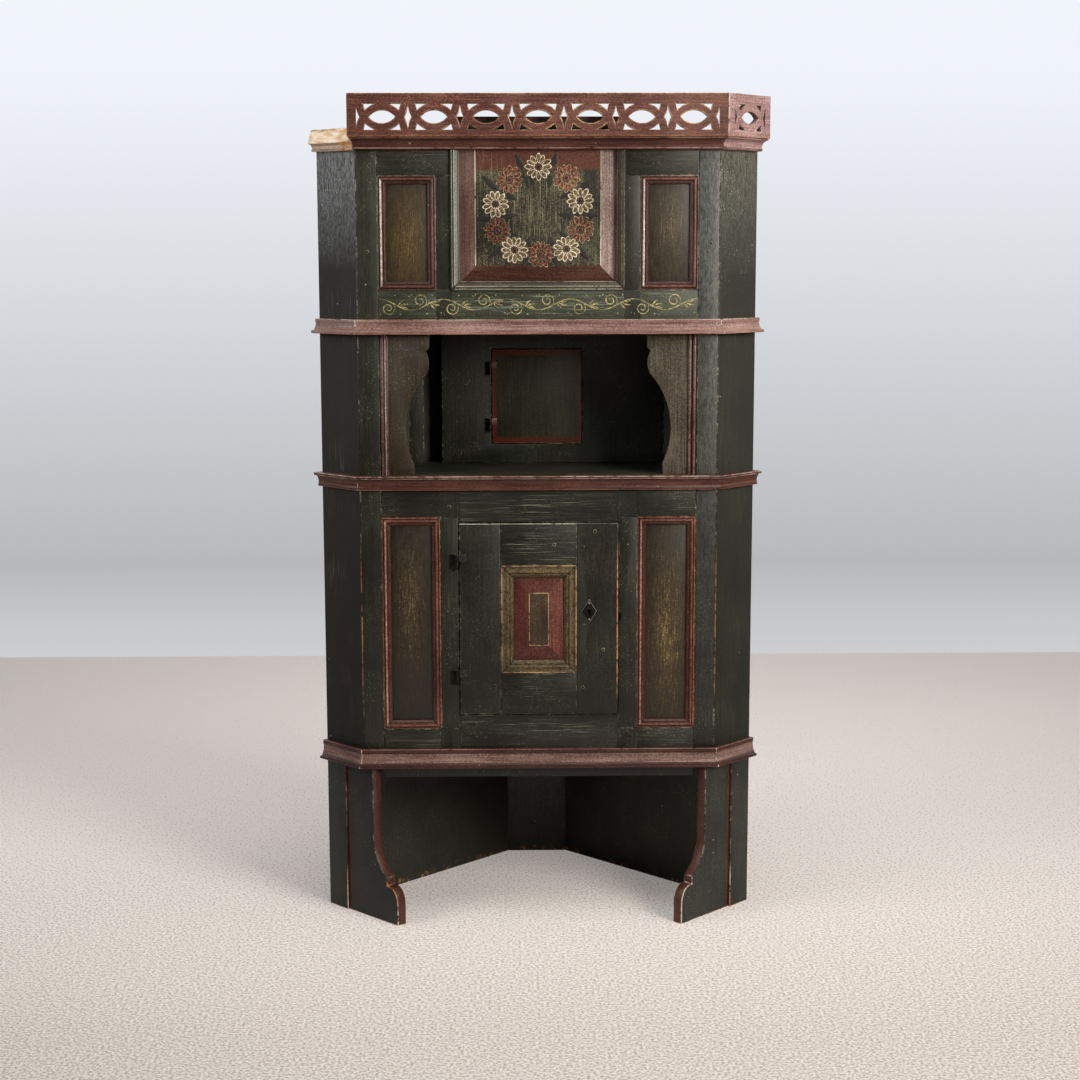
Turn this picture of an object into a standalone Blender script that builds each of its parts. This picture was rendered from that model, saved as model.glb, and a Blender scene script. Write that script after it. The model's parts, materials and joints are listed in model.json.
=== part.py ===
"""Painted corner cupboard, modelled in metres with +Z up.

The front faces -Y and +X is to the viewer's right. The two back walls stand at 45
degrees to the front. The pieces are drawn from the plane of the front face, y = 0,
and hang on one empty that brings the origin to the floor at the middle of the depth.
"""

import math

import bmesh
import bpy
from mathutils import Vector

# Plan of the carcass
FRONT_HALF = 0.351          # half width of the front face
CANT_RUN = 0.082            # each canted side runs this far out and as far back
CORNER_HALF = 0.0645        # half the inside width of the board across the back corner
FRAME_T = 0.020             # front frame and canted sides
WALL_T = 0.018              # back walls and corner board
SHELF_T = 0.018             # level boards
GAP = 0.0003                # between pieces that touch

# Heights, from the floor up
FOOT_H = 0.3125
BASE_H = 0.0375
LOWER_H = 0.522
LOWER_WAIST_H = 0.0285
NICHE_H = 0.276
UPPER_WAIST_H = 0.0285
UPPER_H = 0.323
CORNICE_H = 0.023
GALLERY_H = 0.081

# Front frame
CORNER_STILE_W = 0.041
UPPER_STILE_W = 0.045
LOWER_STILE_W = 0.0365
UPPER_RAIL_SHOW = 0.048     # height of the top rail that shows under the cornice
BAND_H = 0.056              # painted band above the upper waist
PANEL_HEAD = 0.055          # rail above the lower side panels
PANEL_SILL = 0.040          # rail below the lower side panels
DOOR_HEAD = 0.0655
DOOR_SILL = 0.0685
RAIL_DROP = 0.022           # the bottom rail hangs this far below the base moulding
PANEL_BACK = 0.018
PANEL_FACE = 0.008
PANEL_MOULDING_W = 0.0165
PANEL_MOULDING_PROUD = 0.003
# Section of a side panel's moulding: shares of its width and of its height over the panel
PANEL_PROFILE = (
    (0, 0), (0, 0.68), (0.05, 0.76), (0.14, 0.76), (0.18, 0.62), (0.24, 0.84), (0.32, 0.97), (0.41, 1),
    (0.50, 0.96), (0.58, 0.80), (0.63, 0.55), (0.69, 0.60), (0.78, 0.60), (0.85, 0.52), (0.92, 0.36),
    (1, 0.22), (1, 0),
)

# Mouldings: how far each stands out from the body
CORNICE_OUT = 0.0265
CORNICE_BEAD_OUT = 0.0125
CORNICE_BEAD_H = 0.006
BROKEN_OUT = 0.019
STUMP_H = 0.018             # broken end of the lost gallery board, above the cornice
STUMP_FOOT = 0.0165
STUMP_HEAD = 0.0115
WAIST_OUT = 0.022
BASE_OUT = 0.020
MOULDING_NECK = 0.0095      # slimmest part of each moulding
MOULDING_CAP = 0.0110       # small edge beyond the neck
MOULDING_LIP = 0.0055       # upright face at its widest edge
COVE_STEPS = 8
# Where the hollows begin and end, as shares of a moulding's reach and height
BEAD_FOOT_SHARE = 0.75
CORNICE_COVE_IN_SHARE = 0.8
CORNICE_COVE_HIGH_SHARE = 0.88
BROKEN_COVE_HIGH_SHARE = 0.62
WAIST_COVE_OUT_SHARE = 0.9
WAIST_COVE_HIGH_SHARE = 0.74
WAIST_CAP_LOW_SHARE = 0.8

# Fretwork gallery
GALLERY_OUT = 0.030         # outer face, measured out from the body
GALLERY_T = 0.012
FRET_UNITS = 7
FRET_END = 0.0176           # plain wood at each end of a board
EYE_LONG = 0.0505
EYE_TALL = 0.0245
FRET_TALL = 0.0485
FRET_WIDE = 0.0705
FRET_MIDDLE = 0.0369        # middle of the fret above the board's lower edge
FRET_TIP = 0.0125           # corner holes from the unit's upright middle line
FRET_LEVEL = 0.0126         # corner holes from its level middle line
FRET_LEAN = 0.003           # their corner beside the eye is drawn in this far
FRET_BOW = 0.0014           # the eye's band bows into them this far
SLIT_LONG = 0.0435
SLIT_WIDE = 0.0130
SLIT_SHOULDER_SHARE = 0.42  # hollow sides turn at this share of the half length
SLIT_HOLLOW_SHARE = 0.34    # and at this share of the half width
ARC_STEPS = 10

# Lift-up hatch of the upper compartment
HATCH_OPEN_HALF = 0.152     # half the opening between the two upper stiles
HATCH_TONGUE = 0.0065       # edge that runs in the groove
HATCH_SILL = 0.009          # the band rail's centre rises this far behind the frame strip
HATCH_RISE = 0.063          # the panel stands this far above the bottom of the cornice
HATCH_BEVEL = 0.031
HATCH_FIELD = 0.001         # front of the flat field, behind the front face
GROOVE_FRONT = 0.0065
GROOVE_BACK = 0.0135
GROOVE_PLAY = 0.0005
HATCH_STRIP_W = 0.017
HATCH_STRIP_T = 0.008
# Section of the frame strip, as shares of its width and thickness
HATCH_STRIP_PROFILE = ((0, 0.6), (0.15, 1), (0.45, 1), (0.8, 0.55), (1, 0.5))

# Niche
NICHE_DEPTH = 0.225         # front face of the niche's back boards
NICHE_BACK_T = 0.016
NICHE_STRIP_W = 0.030       # narrow back board at the left wall
NICHE_SLOT_W = 0.0375       # open slot beside it
BRACKET_FACE = 0.004
BRACKET_T = 0.014
BRACKET_LIP_W = 0.0975
BRACKET_LIP_H = 0.0265
BRACKET_CUSP_W = 0.090
BRACKET_CUSP_H = 0.033
BRACKET_BELLY_W = 0.0965
BRACKET_BELLY_H = 0.054
BRACKET_NECK_W = 0.0905
BRACKET_NECK_H = 0.0785
BRACKET_WAIST_W = 0.0525
BRACKET_WAIST_H = 0.1565
BRACKET_FOOT_W = 0.0655
BRACKET_FOOT_H = 0.0225
BEAD_R = 0.0045
NICHE_DOOR_W = 0.184
NICHE_DOOR_H = 0.193
NICHE_DOOR_LIFT = 0.042     # bottom of the small door above the niche floor
NICHE_DOOR_T = 0.014
DOOR_PROUD = 0.004          # both doors stand this far out of their openings
DOOR_PLAY = 0.0015          # gap round each door

# Lower door
DOOR_OPEN_HALF = 0.1585
DOOR_T = 0.020
DOOR_STILE_W = 0.0812
DOOR_RAIL_H = 0.083
DOOR_MOULDING_W = 0.0255
DOOR_MOULDING_PROUD = 0.002
# Section of the door's moulding: shares of its width and of its height over the panel
DOOR_PROFILE = (
    (0, 0), (0, 0.74), (0.02, 0.92), (0.07, 1), (0.12, 0.94), (0.15, 0.78), (0.22, 0.70), (0.31, 0.70),
    (0.40, 0.78), (0.48, 0.90), (0.55, 0.93), (0.61, 0.86), (0.65, 0.66), (0.68, 0.60), (0.72, 0.68),
    (0.77, 0.72), (0.82, 0.68), (0.87, 0.50), (0.94, 0.34), (1, 0.24), (1, 0),
)
DOOR_PANEL_EDGE = 0.006     # front of the panel's edge, behind the front face
DOOR_PANEL_RAISE = 0.009
DOOR_PANEL_BEVEL = 0.031

# Hinges
HINGE_AXIS_OUT = 0.0025     # axis in front of the door's face
HINGE_AXIS_SIDE = 0.0055    # axis beside the door's edge
KNUCKLE_R = 0.004
PIN_R = 0.0024
PIN_PLAY = 0.0004
LEAF_T = 0.0016
DOOR_HINGE_H = 0.030
DOOR_HINGE_LEAF = 0.014
DOOR_HINGE_INSET = 0.076    # hinge centre from the door's top and bottom
NICHE_HINGE_H = 0.027
NICHE_HINGE_LEAF = 0.009
NICHE_HINGE_INSET = 0.038
ROUND_STEPS = 16

# Lock
LOCK_X = 0.0997
LOCK_BELOW_TOP = 0.176      # keyhole below the door's top edge
ESCUTCHEON_W = 0.030
ESCUTCHEON_H = 0.0486
ESCUTCHEON_T = 0.0016
KEYHOLE_R = 0.0030
KEYHOLE_SLOT_W = 0.0028
KEYHOLE_SLOT_H = 0.0085
LOCK_CASE_W = 0.066
LOCK_CASE_H = 0.084
LOCK_CASE_T = 0.014
LOCK_EDGE = 0.0065          # lock case back from the door's edge
BOLT_L = 0.060
BOLT_H = 0.014
BOLT_T = 0.005
BOLT_SHOW = 0.002           # bolt end that stands out of the case when drawn back
BOLT_DROP = 0.0126          # bolt and its notch in the frame, below the keyhole
STRIKE_W = 0.004
STRIKE_H = 0.013

# Feet
FOOT_T = 0.022
FOOT_SET_BACK = 0.004       # foot board behind the face of the outer strip
STRIP_W = 0.0575            # outer strip that runs down to the floor
FOOT_TENON = 0.0175         # foot board behind the base moulding
FOOT_SHOULDER = 0.008
SHANK_REACH = 0.020         # foot board forward of the front corner
TOE_REACH = 0.091
TOE_H = 0.0765
TOE_SIDE = 0.040
TOE_TOP = 0.007
NOTCH_H = 0.016
NOTCH_AT_SHARE = 0.55       # notch at this share of the way from the shank to the toe's tip
FLARE_H = 0.0735
FLARE_START = math.radians(30)

# Levels that follow from the heights
BASE_TOP = FOOT_H + BASE_H
WAIST_LOW = BASE_TOP + LOWER_H
NICHE_LOW = WAIST_LOW + LOWER_WAIST_H
NICHE_TOP = NICHE_LOW + NICHE_H
BAND_LOW = NICHE_TOP + UPPER_WAIST_H
BODY_TOP = BAND_LOW + UPPER_H
CORNICE_TOP = BODY_TOP + CORNICE_H
FRAME_LOW = FOOT_H + FOOT_TENON
RAIL_LOW = FOOT_H - RAIL_DROP
UPPER_PANEL_LOW = BAND_LOW + BAND_H
UPPER_PANEL_TOP = BODY_TOP - UPPER_RAIL_SHOW
LOWER_PANEL_LOW = BASE_TOP + PANEL_SILL
LOWER_PANEL_TOP = WAIST_LOW - PANEL_HEAD
DOOR_LOW = BASE_TOP + DOOR_SILL
DOOR_TOP = WAIST_LOW - DOOR_HEAD

# Distances that follow from the plan
ROOT2 = math.sqrt(2)
MITRE = math.tan(math.radians(22.5))
STILE_IN = FRONT_HALF - CORNER_STILE_W
UPPER_STILE_OUT = HATCH_OPEN_HALF + UPPER_STILE_W
LOWER_STILE_OUT = DOOR_OPEN_HALF + LOWER_STILE_W
WALL_OUT_SUM = FRONT_HALF + 2 * CANT_RUN
WALL_IN_SUM = WALL_OUT_SUM - ROOT2 * WALL_T
SIDE_IN_DIFF = FRONT_HALF - ROOT2 * FRAME_T
BACK_IN = WALL_IN_SUM - CORNER_HALF
CANT_L = ROOT2 * CANT_RUN
HATCH_LOW = UPPER_PANEL_LOW + HATCH_SILL
HATCH_TOP = BODY_TOP + HATCH_RISE
DOOR_HALF = DOOR_OPEN_HALF - DOOR_PLAY
NICHE_DOOR_HALF = NICHE_DOOR_W / 2
LOCK_Z = DOOR_TOP - DOOR_PLAY - LOCK_BELOW_TOP
NICHE_SLOT_OUT = WALL_IN_SUM - NICHE_DEPTH - NICHE_STRIP_W
NICHE_SLOT_IN = NICHE_SLOT_OUT - NICHE_SLOT_W
STRIKE_Z = LOCK_Z - BOLT_DROP
TOE_FRONT = (FOOT_SET_BACK - TOE_REACH) / ROOT2
MID_DEPTH = (BACK_IN + WALL_T + TOE_FRONT) / 2
SIDES = (("left", -1), ("right", 1))


def paint(name, color, roughness=0.5, metallic=0.0):
    material = bpy.data.materials.new(name)
    material.use_nodes = True
    shader = material.node_tree.nodes["Principled BSDF"]
    shader.inputs["Base Color"].default_value = (*color, 1.0)
    shader.inputs["Roughness"].default_value = roughness
    shader.inputs["Metallic"].default_value = metallic
    return material


def clear_scene():
    for obj in list(bpy.data.objects):
        bpy.data.objects.remove(obj, do_unlink=True)


def link(name, bm, color, axis=None):
    """Makes an object from a mesh drawn in the cabinet's places, under a joint's empty if given."""
    bmesh.ops.recalc_face_normals(bm, faces=bm.faces)
    mesh = bpy.data.meshes.new(name)
    bm.to_mesh(mesh)
    bm.free()
    obj = bpy.data.objects.new(name, mesh)
    mesh.materials.append(paint(name, *color))
    bpy.context.collection.objects.link(obj)
    obj.parent = bpy.data.objects["cabinet"]
    if axis is not None:
        obj.parent = axis
        obj.location = -axis.location
    return obj


def empty_at(name, place, parent=None):
    empty = bpy.data.objects.new(name, None)
    empty.location = place
    empty.parent = parent
    bpy.context.collection.objects.link(empty)
    return empty


def axis_empty(name, place):
    return empty_at(name, place, bpy.data.objects["cabinet"])


def helper(name, bm):
    """A cutter or a piece to be joined: kept out of the model itself."""
    obj = link(name, bm, IRON)
    obj.hide_render = True
    obj.display_type = "WIRE"
    return obj


def combine(target, other, operation):
    modifier = target.modifiers.new(other.name, "BOOLEAN")
    modifier.operation = operation
    modifier.solver = "EXACT"
    modifier.object = other


def prism(points, along):
    """A flat outline pushed out along a vector."""
    bm = bmesh.new()
    face = bm.faces.new([bm.verts.new(point) for point in points])
    pushed = bmesh.ops.extrude_face_region(bm, geom=[face])["geom"]
    moved = [item for item in pushed if isinstance(item, bmesh.types.BMVert)]
    bmesh.ops.translate(bm, verts=moved, vec=along)
    return bm


def plan(outline, low, high):
    points = [Vector((x, y, low)) for x, y in outline]
    return prism(points, Vector((0, 0, high - low)))


def front(outline, face, back):
    points = [Vector((x, face, z)) for x, z in outline]
    return prism(points, Vector((0, back - face, 0)))


def block(low, high):
    outline = [(low[0], low[1]), (high[0], low[1]), (high[0], high[1]), (low[0], high[1])]
    return plan(outline, low[2], high[2])


def on_cant(side, along, inward, z):
    """A place on a canted side: along it from the front corner, inward from its face."""
    x = FRONT_HALF + (along - inward) / ROOT2
    return Vector((side * x, (along + inward) / ROOT2, z))


def cant(outline, side, near, far):
    points = [on_cant(side, along, near, z) for along, z in outline]
    inward = on_cant(side, 0, far, 0) - on_cant(side, 0, near, 0)
    return prism(points, inward)


def sweep(path, up, profile, closed=False, keep=slice(None)):
    """A moulding: its section carried along a path, mitred at each corner, with the stretch to keep."""
    bm = bmesh.new()
    count = len(path)
    rings = []
    for index, place in enumerate(path):
        before = path[index - 1] if closed or index else None
        after = path[(index + 1) % count] if closed or index < count - 1 else None
        turns = []
        if before is not None:
            turns.append((place - before).normalized().cross(up))
        if after is not None:
            turns.append((after - place).normalized().cross(up))
        out = turns[0]
        if len(turns) == 2:
            out = (turns[0] + turns[1]) / (1 + turns[0].dot(turns[1]))
        rings.append([place + out * reach + up * rise for reach, rise in profile])
    loops = [[bm.verts.new(point) for point in ring] for ring in rings[keep]]
    pairs = list(zip(loops, loops[1:]))
    if closed:
        pairs.append((loops[-1], loops[0]))
    else:
        bm.faces.new(loops[0])
        bm.faces.new(loops[-1])
    for first, second in pairs:
        for k in range(len(profile)):
            n = (k + 1) % len(profile)
            bm.faces.new((first[k], first[n], second[n], second[k]))
    return bm


def quarter(start, end, upright_first, steps=COVE_STEPS):
    """Points of a quarter ellipse between two points, both included."""
    points = []
    for k in range(steps + 1):
        turn = math.radians(90) * k / steps
        early = math.sin(turn)
        late = 1 - math.cos(turn)
        across, up = (late, early) if upright_first else (early, late)
        points.append((start[0] + (end[0] - start[0]) * across, start[1] + (end[1] - start[1]) * up))
    return points


def arc(center, radius, start, end, steps):
    points = []
    for k in range(steps + 1):
        turn = start + (end - start) * k / steps
        points.append((center[0] + radius * math.cos(turn), center[1] + radius * math.sin(turn)))
    return points


def arc_through(first, middle, last, steps=ARC_STEPS):
    """Points of the circle arc that passes three points."""
    ax, ay = first
    bx, by = middle
    cx, cy = last
    d = 2 * (ax * (by - cy) + bx * (cy - ay) + cx * (ay - by))
    a2 = ax * ax + ay * ay
    b2 = bx * bx + by * by
    c2 = cx * cx + cy * cy
    ux = (a2 * (by - cy) + b2 * (cy - ay) + c2 * (ay - by)) / d
    uy = (a2 * (cx - bx) + b2 * (ax - cx) + c2 * (bx - ax)) / d
    radius = math.hypot(ax - ux, ay - uy)
    start = math.atan2(ay - uy, ax - ux)
    via = (math.atan2(by - uy, bx - ux) - start + math.pi) % (2 * math.pi) - math.pi
    end = (math.atan2(cy - uy, cx - ux) - start + math.pi) % (2 * math.pi) - math.pi
    if via * end < 0:
        end -= math.copysign(2 * math.pi, end)
    return arc((ux, uy), radius, start, start + end, steps)


def round_bar(center, radius, low, high):
    outline = arc(center, radius, 0, 2 * math.pi, ROUND_STEPS)[:-1]
    return plan(outline, low, high)


def mirrored(outline, side):
    return [(side * x, y) for x, y in outline]


def interior(margin):
    """Inside outline of the carcass behind the front frame, drawn in by a margin."""
    side = SIDE_IN_DIFF - ROOT2 * margin
    wall = WALL_IN_SUM - ROOT2 * margin
    near = FRAME_T + margin
    far = BACK_IN - margin
    right = [(side + near, near), ((wall + side) / 2, (wall - side) / 2), (wall - far, far)]
    return right + mirrored(reversed(right), -1)


def rectangle(left, right, low, high):
    return [(left, low), (right, low), (right, high), (left, high)]


# Colours: red, green and blue in linear light, roughness, metallic
GREEN = ((0.030, 0.033, 0.024), 0.45)
TEAL = ((0.028, 0.050, 0.039), 0.5)
RED = ((0.105, 0.036, 0.029), 0.5)
OCHRE = ((0.075, 0.052, 0.017), 0.55)
OLIVE = ((0.074, 0.062, 0.026), 0.55)
BARE = ((0.31, 0.21, 0.11), 0.75)
IRON = ((0.018, 0.016, 0.015), 0.5, 0.8)


def build_carcass():
    for name, side in SIDES:
        near = SIDE_IN_DIFF - ROOT2 * GAP
        far_out = WALL_OUT_SUM - BACK_IN - WALL_T
        wall = [
            ((WALL_OUT_SUM + near) / 2, (WALL_OUT_SUM - near) / 2),
            (far_out, BACK_IN + WALL_T),
            (CORNER_HALF, BACK_IN),
            ((WALL_IN_SUM + near) / 2, (WALL_IN_SUM - near) / 2),
        ]
        link(f"back_wall_{name}", plan(mirrored(wall, side), 0, CORNICE_TOP), BARE)

        corner = [
            (FRONT_HALF, 0),
            (FRONT_HALF + CANT_RUN, CANT_RUN),
            ((WALL_OUT_SUM + SIDE_IN_DIFF) / 2, (WALL_OUT_SUM - SIDE_IN_DIFF) / 2),
            (FRONT_HALF - MITRE * FRAME_T, FRAME_T),
        ]
        board = link(f"side_board_{name}", plan(mirrored(corner, side), 0, CORNICE_TOP), GREEN)
        strip_edge = CANT_L - STRIP_W
        room = rectangle(-CANT_L, strip_edge, -FOOT_H, FRAME_LOW)
        combine(board, helper(f"foot_room_{name}", cant(room, side, -FRAME_T, 2 * FRAME_T)), "DIFFERENCE")

    back = BACK_IN + WALL_T
    half_in = CORNER_HALF - GAP
    half_out = WALL_OUT_SUM - back - GAP
    across = [(-half_in, BACK_IN), (half_in, BACK_IN), (half_out, back), (-half_out, back)]
    link("back_corner_board", plan(across, 0, CORNICE_TOP), BARE)

    inside = interior(GAP)
    link("top_board", plan(inside, CORNICE_TOP - SHELF_T, CORNICE_TOP), BARE)
    link("niche_ceiling", plan(inside, NICHE_TOP, NICHE_TOP + SHELF_T), BARE)
    link("cupboard_floor", plan(inside, BASE_TOP, BASE_TOP + SHELF_T), BARE)
    edge = STILE_IN - GAP
    sill = [(-edge, FRAME_T + GAP), (-edge, 0), (edge, 0), (edge, FRAME_T + GAP)]
    link("niche_floor", plan(sill + inside, NICHE_LOW - SHELF_T, NICHE_LOW), GREEN)


def build_feet():
    shoulder = FOOT_H - GAP
    notch_t = -SHANK_REACH - (TOE_REACH - SHANK_REACH) * NOTCH_AT_SHARE
    notch_top = TOE_H + NOTCH_H
    flare_w = (-SHANK_REACH - notch_t) / (1 - math.sin(FLARE_START))
    flare_drop = FLARE_H / math.cos(FLARE_START)
    outline = [(CANT_L - STRIP_W - GAP, 0), (-TOE_REACH, 0)]
    outline += quarter((-TOE_REACH, TOE_SIDE), (notch_t - TOE_TOP, TOE_H), True)
    outline.append((notch_t, TOE_H))
    for k in range(COVE_STEPS + 1):
        turn = FLARE_START + (math.radians(90) - FLARE_START) * k / COVE_STEPS
        across = -SHANK_REACH - flare_w * (1 - math.sin(turn))
        outline.append((across, notch_top + FLARE_H - flare_drop * math.cos(turn)))
    outline += [
        (-SHANK_REACH, shoulder),
        (FOOT_SHOULDER, shoulder),
        (FOOT_SHOULDER, FRAME_LOW - GAP),
        (CANT_L - STRIP_W - GAP, FRAME_LOW - GAP),
    ]
    for name, side in SIDES:
        link(f"foot_{name}", cant(outline, side, FOOT_SET_BACK, FOOT_SET_BACK + FOOT_T), GREEN)


def build_frame():
    edge = STILE_IN - GAP
    for name, side in SIDES:
        stile = [
            (STILE_IN, 0),
            (FRONT_HALF - GAP, 0),
            (FRONT_HALF - MITRE * FRAME_T - GAP, FRAME_T),
            (STILE_IN, FRAME_T),
        ]
        link(f"corner_stile_{name}", plan(mirrored(stile, side), FRAME_LOW, CORNICE_TOP), GREEN)

        groove = HATCH_OPEN_HALF + HATCH_TONGUE + GROOVE_PLAY
        grooved = [
            (UPPER_STILE_OUT, 0),
            (UPPER_STILE_OUT, FRAME_T),
            (HATCH_OPEN_HALF, FRAME_T),
            (HATCH_OPEN_HALF, GROOVE_BACK),
            (groove, GROOVE_BACK),
            (groove, GROOVE_FRONT),
            (HATCH_OPEN_HALF, GROOVE_FRONT),
            (HATCH_OPEN_HALF, 0),
        ]
        low = UPPER_PANEL_LOW + GAP
        link(f"upper_stile_{name}", plan(mirrored(grooved, side), low, UPPER_PANEL_TOP - GAP), GREEN)

        lower = rectangle(DOOR_OPEN_HALF, LOWER_STILE_OUT, LOWER_PANEL_LOW + GAP, LOWER_PANEL_TOP - GAP)
        if name == "right":
            lower += [
                (DOOR_OPEN_HALF, STRIKE_Z + STRIKE_H / 2),
                (DOOR_OPEN_HALF + STRIKE_W, STRIKE_Z + STRIKE_H / 2),
                (DOOR_OPEN_HALF + STRIKE_W, STRIKE_Z - STRIKE_H / 2),
                (DOOR_OPEN_HALF, STRIKE_Z - STRIKE_H / 2),
            ]
        link(f"lower_stile_{name}", front(mirrored(lower, side), 0, FRAME_T), GREEN)

    slot = HATCH_OPEN_HALF + HATCH_TONGUE + GROOVE_PLAY
    notched = [
        (-edge, 0),
        (-slot, 0),
        (-slot, GROOVE_BACK),
        (slot, GROOVE_BACK),
        (slot, 0),
        (edge, 0),
        (edge, FRAME_T),
        (-edge, FRAME_T),
    ]
    link("upper_rail", plan(notched, UPPER_PANEL_TOP, CORNICE_TOP), GREEN)

    middle = HATCH_OPEN_HALF - GAP
    band = rectangle(-edge, edge, NICHE_TOP, UPPER_PANEL_LOW)
    step = [(middle, UPPER_PANEL_LOW), (middle, HATCH_LOW)]
    band[3:3] = step + mirrored(reversed(step), -1)
    link("band_rail", front(band, 0, FRAME_T), TEAL)

    middle = DOOR_OPEN_HALF - GAP
    head_top = NICHE_LOW - SHELF_T - GAP
    head = [(-edge, LOWER_PANEL_TOP), (-middle, LOWER_PANEL_TOP), (-middle, DOOR_TOP), (middle, DOOR_TOP)]
    head += [(middle, LOWER_PANEL_TOP), (edge, LOWER_PANEL_TOP), (edge, head_top), (-edge, head_top)]
    link("lower_rail_top", front(head, 0, FRAME_T), GREEN)
    sill = [(-edge, RAIL_LOW), (edge, RAIL_LOW), (edge, LOWER_PANEL_LOW), (middle, LOWER_PANEL_LOW)]
    sill += [(middle, DOOR_LOW), (-middle, DOOR_LOW), (-middle, LOWER_PANEL_LOW), (-edge, LOWER_PANEL_LOW)]
    link("lower_rail_bottom", front(sill, 0, FRAME_T), GREEN)


def ring_path(left, right, low, high):
    """Corners of an opening, run so that a moulding's section reaches into the opening."""
    corners = [(left, low), (left, high), (right, high), (right, low)]
    return [Vector((x, 0, z)) for x, z in corners]


def planted_section(profile, width, proud, seat):
    """Section of a planted moulding: rounded beads that fall to a thin inner edge."""
    return [(width * across, (proud + seat) * rise - seat) for across, rise in profile]


def build_panels():
    bays = (
        ("upper", UPPER_STILE_OUT, UPPER_PANEL_LOW, UPPER_PANEL_TOP),
        ("lower", LOWER_STILE_OUT, LOWER_PANEL_LOW, LOWER_PANEL_TOP),
    )
    toward_viewer = Vector((0, -1, 0))
    section = planted_section(PANEL_PROFILE, PANEL_MOULDING_W, PANEL_MOULDING_PROUD, PANEL_FACE - GAP)
    for level, inner, low, high in bays:
        for name, side in SIDES:
            left, right = sorted((side * (inner + GAP), side * (STILE_IN - GAP)))
            opening = (left, right, low + GAP, high - GAP)
            board = front(rectangle(*opening), PANEL_FACE, PANEL_BACK)
            link(f"{level}_panel_{name}", board, OCHRE)
            strip = sweep(ring_path(*opening), toward_viewer, section, closed=True)
            link(f"{level}_panel_moulding_{name}", strip, RED)


def body_path():
    """The line round the body, from the left wall to the right wall."""
    out = FRONT_HALF + CANT_RUN
    corners = [(-out, CANT_RUN), (-FRONT_HALF, 0), (FRONT_HALF, 0), (out, CANT_RUN)]
    return [Vector((x, y, 0)) for x, y in corners]


def raised(profile, low):
    return [(out, low + rise) for out, rise in profile]


def cornice_cove(out, high):
    """A bead at the foot of the cornice and the hollow that opens from it."""
    bead = CORNICE_BEAD_OUT
    foot = [(GAP, 0), (bead * BEAD_FOOT_SHARE, 0)]
    foot += [(bead, CORNICE_BEAD_H / 3), (bead, CORNICE_BEAD_H * 2 / 3)]
    return foot + quarter((bead * CORNICE_COVE_IN_SHARE, CORNICE_BEAD_H), (out, high), True)


def cornice_section(height):
    cove = cornice_cove(CORNICE_OUT, height * CORNICE_COVE_HIGH_SHARE)
    return cove + [(CORNICE_OUT, height), (GAP, height)]


def broken_section(height):
    """The same cove, with its edge split away and the stump of the lost board above."""
    cove = cornice_cove(BROKEN_OUT, height * BROKEN_COVE_HIGH_SHARE)
    return cove + [(STUMP_FOOT, height), (STUMP_HEAD, height + STUMP_H), (GAP, height + STUMP_H)]


def foot_heavy_section(out, height):
    """Widest at its lower edge, with a hollow that rises to a slim neck."""
    start = (out * WAIST_COVE_OUT_SHARE, MOULDING_LIP)
    cove = quarter(start, (MOULDING_NECK, height * WAIST_COVE_HIGH_SHARE), False)
    cap = [(MOULDING_CAP, height * WAIST_CAP_LOW_SHARE), (MOULDING_CAP, height), (GAP, height)]
    return [(GAP, 0), (out, 0), (out, MOULDING_LIP)] + cove + cap


def head_heavy_section(out, height):
    """Widest at its upper edge, with a hollow below."""
    return [(reach, height - rise) for reach, rise in foot_heavy_section(out, height)]


def build_mouldings():
    up = Vector((0, 0, 1))
    whole = body_path()
    waist = raised(foot_heavy_section(WAIST_OUT, UPPER_WAIST_H), NICHE_TOP)
    link("upper_waist_moulding", sweep(whole, up, waist), RED)
    waist = raised(head_heavy_section(WAIST_OUT, LOWER_WAIST_H), WAIST_LOW)
    link("lower_waist_moulding", sweep(whole, up, waist), RED)
    link("base_moulding", sweep(whole, up, raised(foot_heavy_section(BASE_OUT, BASE_H), FOOT_H)), RED)

    crown = raised(cornice_section(CORNICE_H), BODY_TOP)
    link("cornice", sweep(whole, up, crown, keep=slice(1, None)), RED)
    stub = raised(broken_section(CORNICE_H), BODY_TOP)
    along_cant = Vector((-1, 1, 0)).normalized() * GAP
    apart = [place + along_cant for place in whole]
    link("cornice_left", sweep(apart, up, stub, keep=slice(0, 2)), RED)


def joined(*runs):
    """One closed outline from runs that share their end points."""
    outline = []
    for run in runs:
        outline += run[:-1]
    return outline


def fret_holes(center, height):
    """Holes of one fret unit: a pointed eye and four curved corners round its band."""
    a = EYE_LONG / 2
    b = EYE_TALL / 2
    wide = FRET_WIDE / 2
    tall = FRET_TALL / 2
    start = Vector((wide - FRET_LEAN, FRET_LEVEL))
    end = Vector((FRET_TIP, tall))
    along = (start - end).normalized()
    bow = (start + end) / 2 + FRET_BOW * Vector((-along.y, along.x))
    eye = joined(arc_through((-a, 0), (0, b), (a, 0)), arc_through((a, 0), (0, -b), (-a, 0)))
    band = arc_through(start, bow, end)
    corner = joined(band, [end, (wide, tall), start])
    holes = [eye]
    for right in (1, -1):
        for above in (1, -1):
            holes.append([(right * u, above * w) for u, w in corner])
    return [[(center + u, height + w) for u, w in hole] for hole in holes]


def slit_hole(center, height, reach_left, reach_right):
    """A narrow slit with hollow sides, or half of one at a board's end."""
    long = SLIT_LONG / 2
    turn = long * SLIT_SHOULDER_SHARE
    points = [(0, long)]
    if reach_right:
        near = reach_right * SLIT_HOLLOW_SHARE
        points += [(near, turn), (reach_right, 0), (near, -turn)]
    points.append((0, -long))
    if reach_left:
        near = -reach_left * SLIT_HOLLOW_SHARE
        points += [(near, -turn), (-reach_left, 0), (near, turn)]
    return [(center + u, height + w) for u, w in points]


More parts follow.
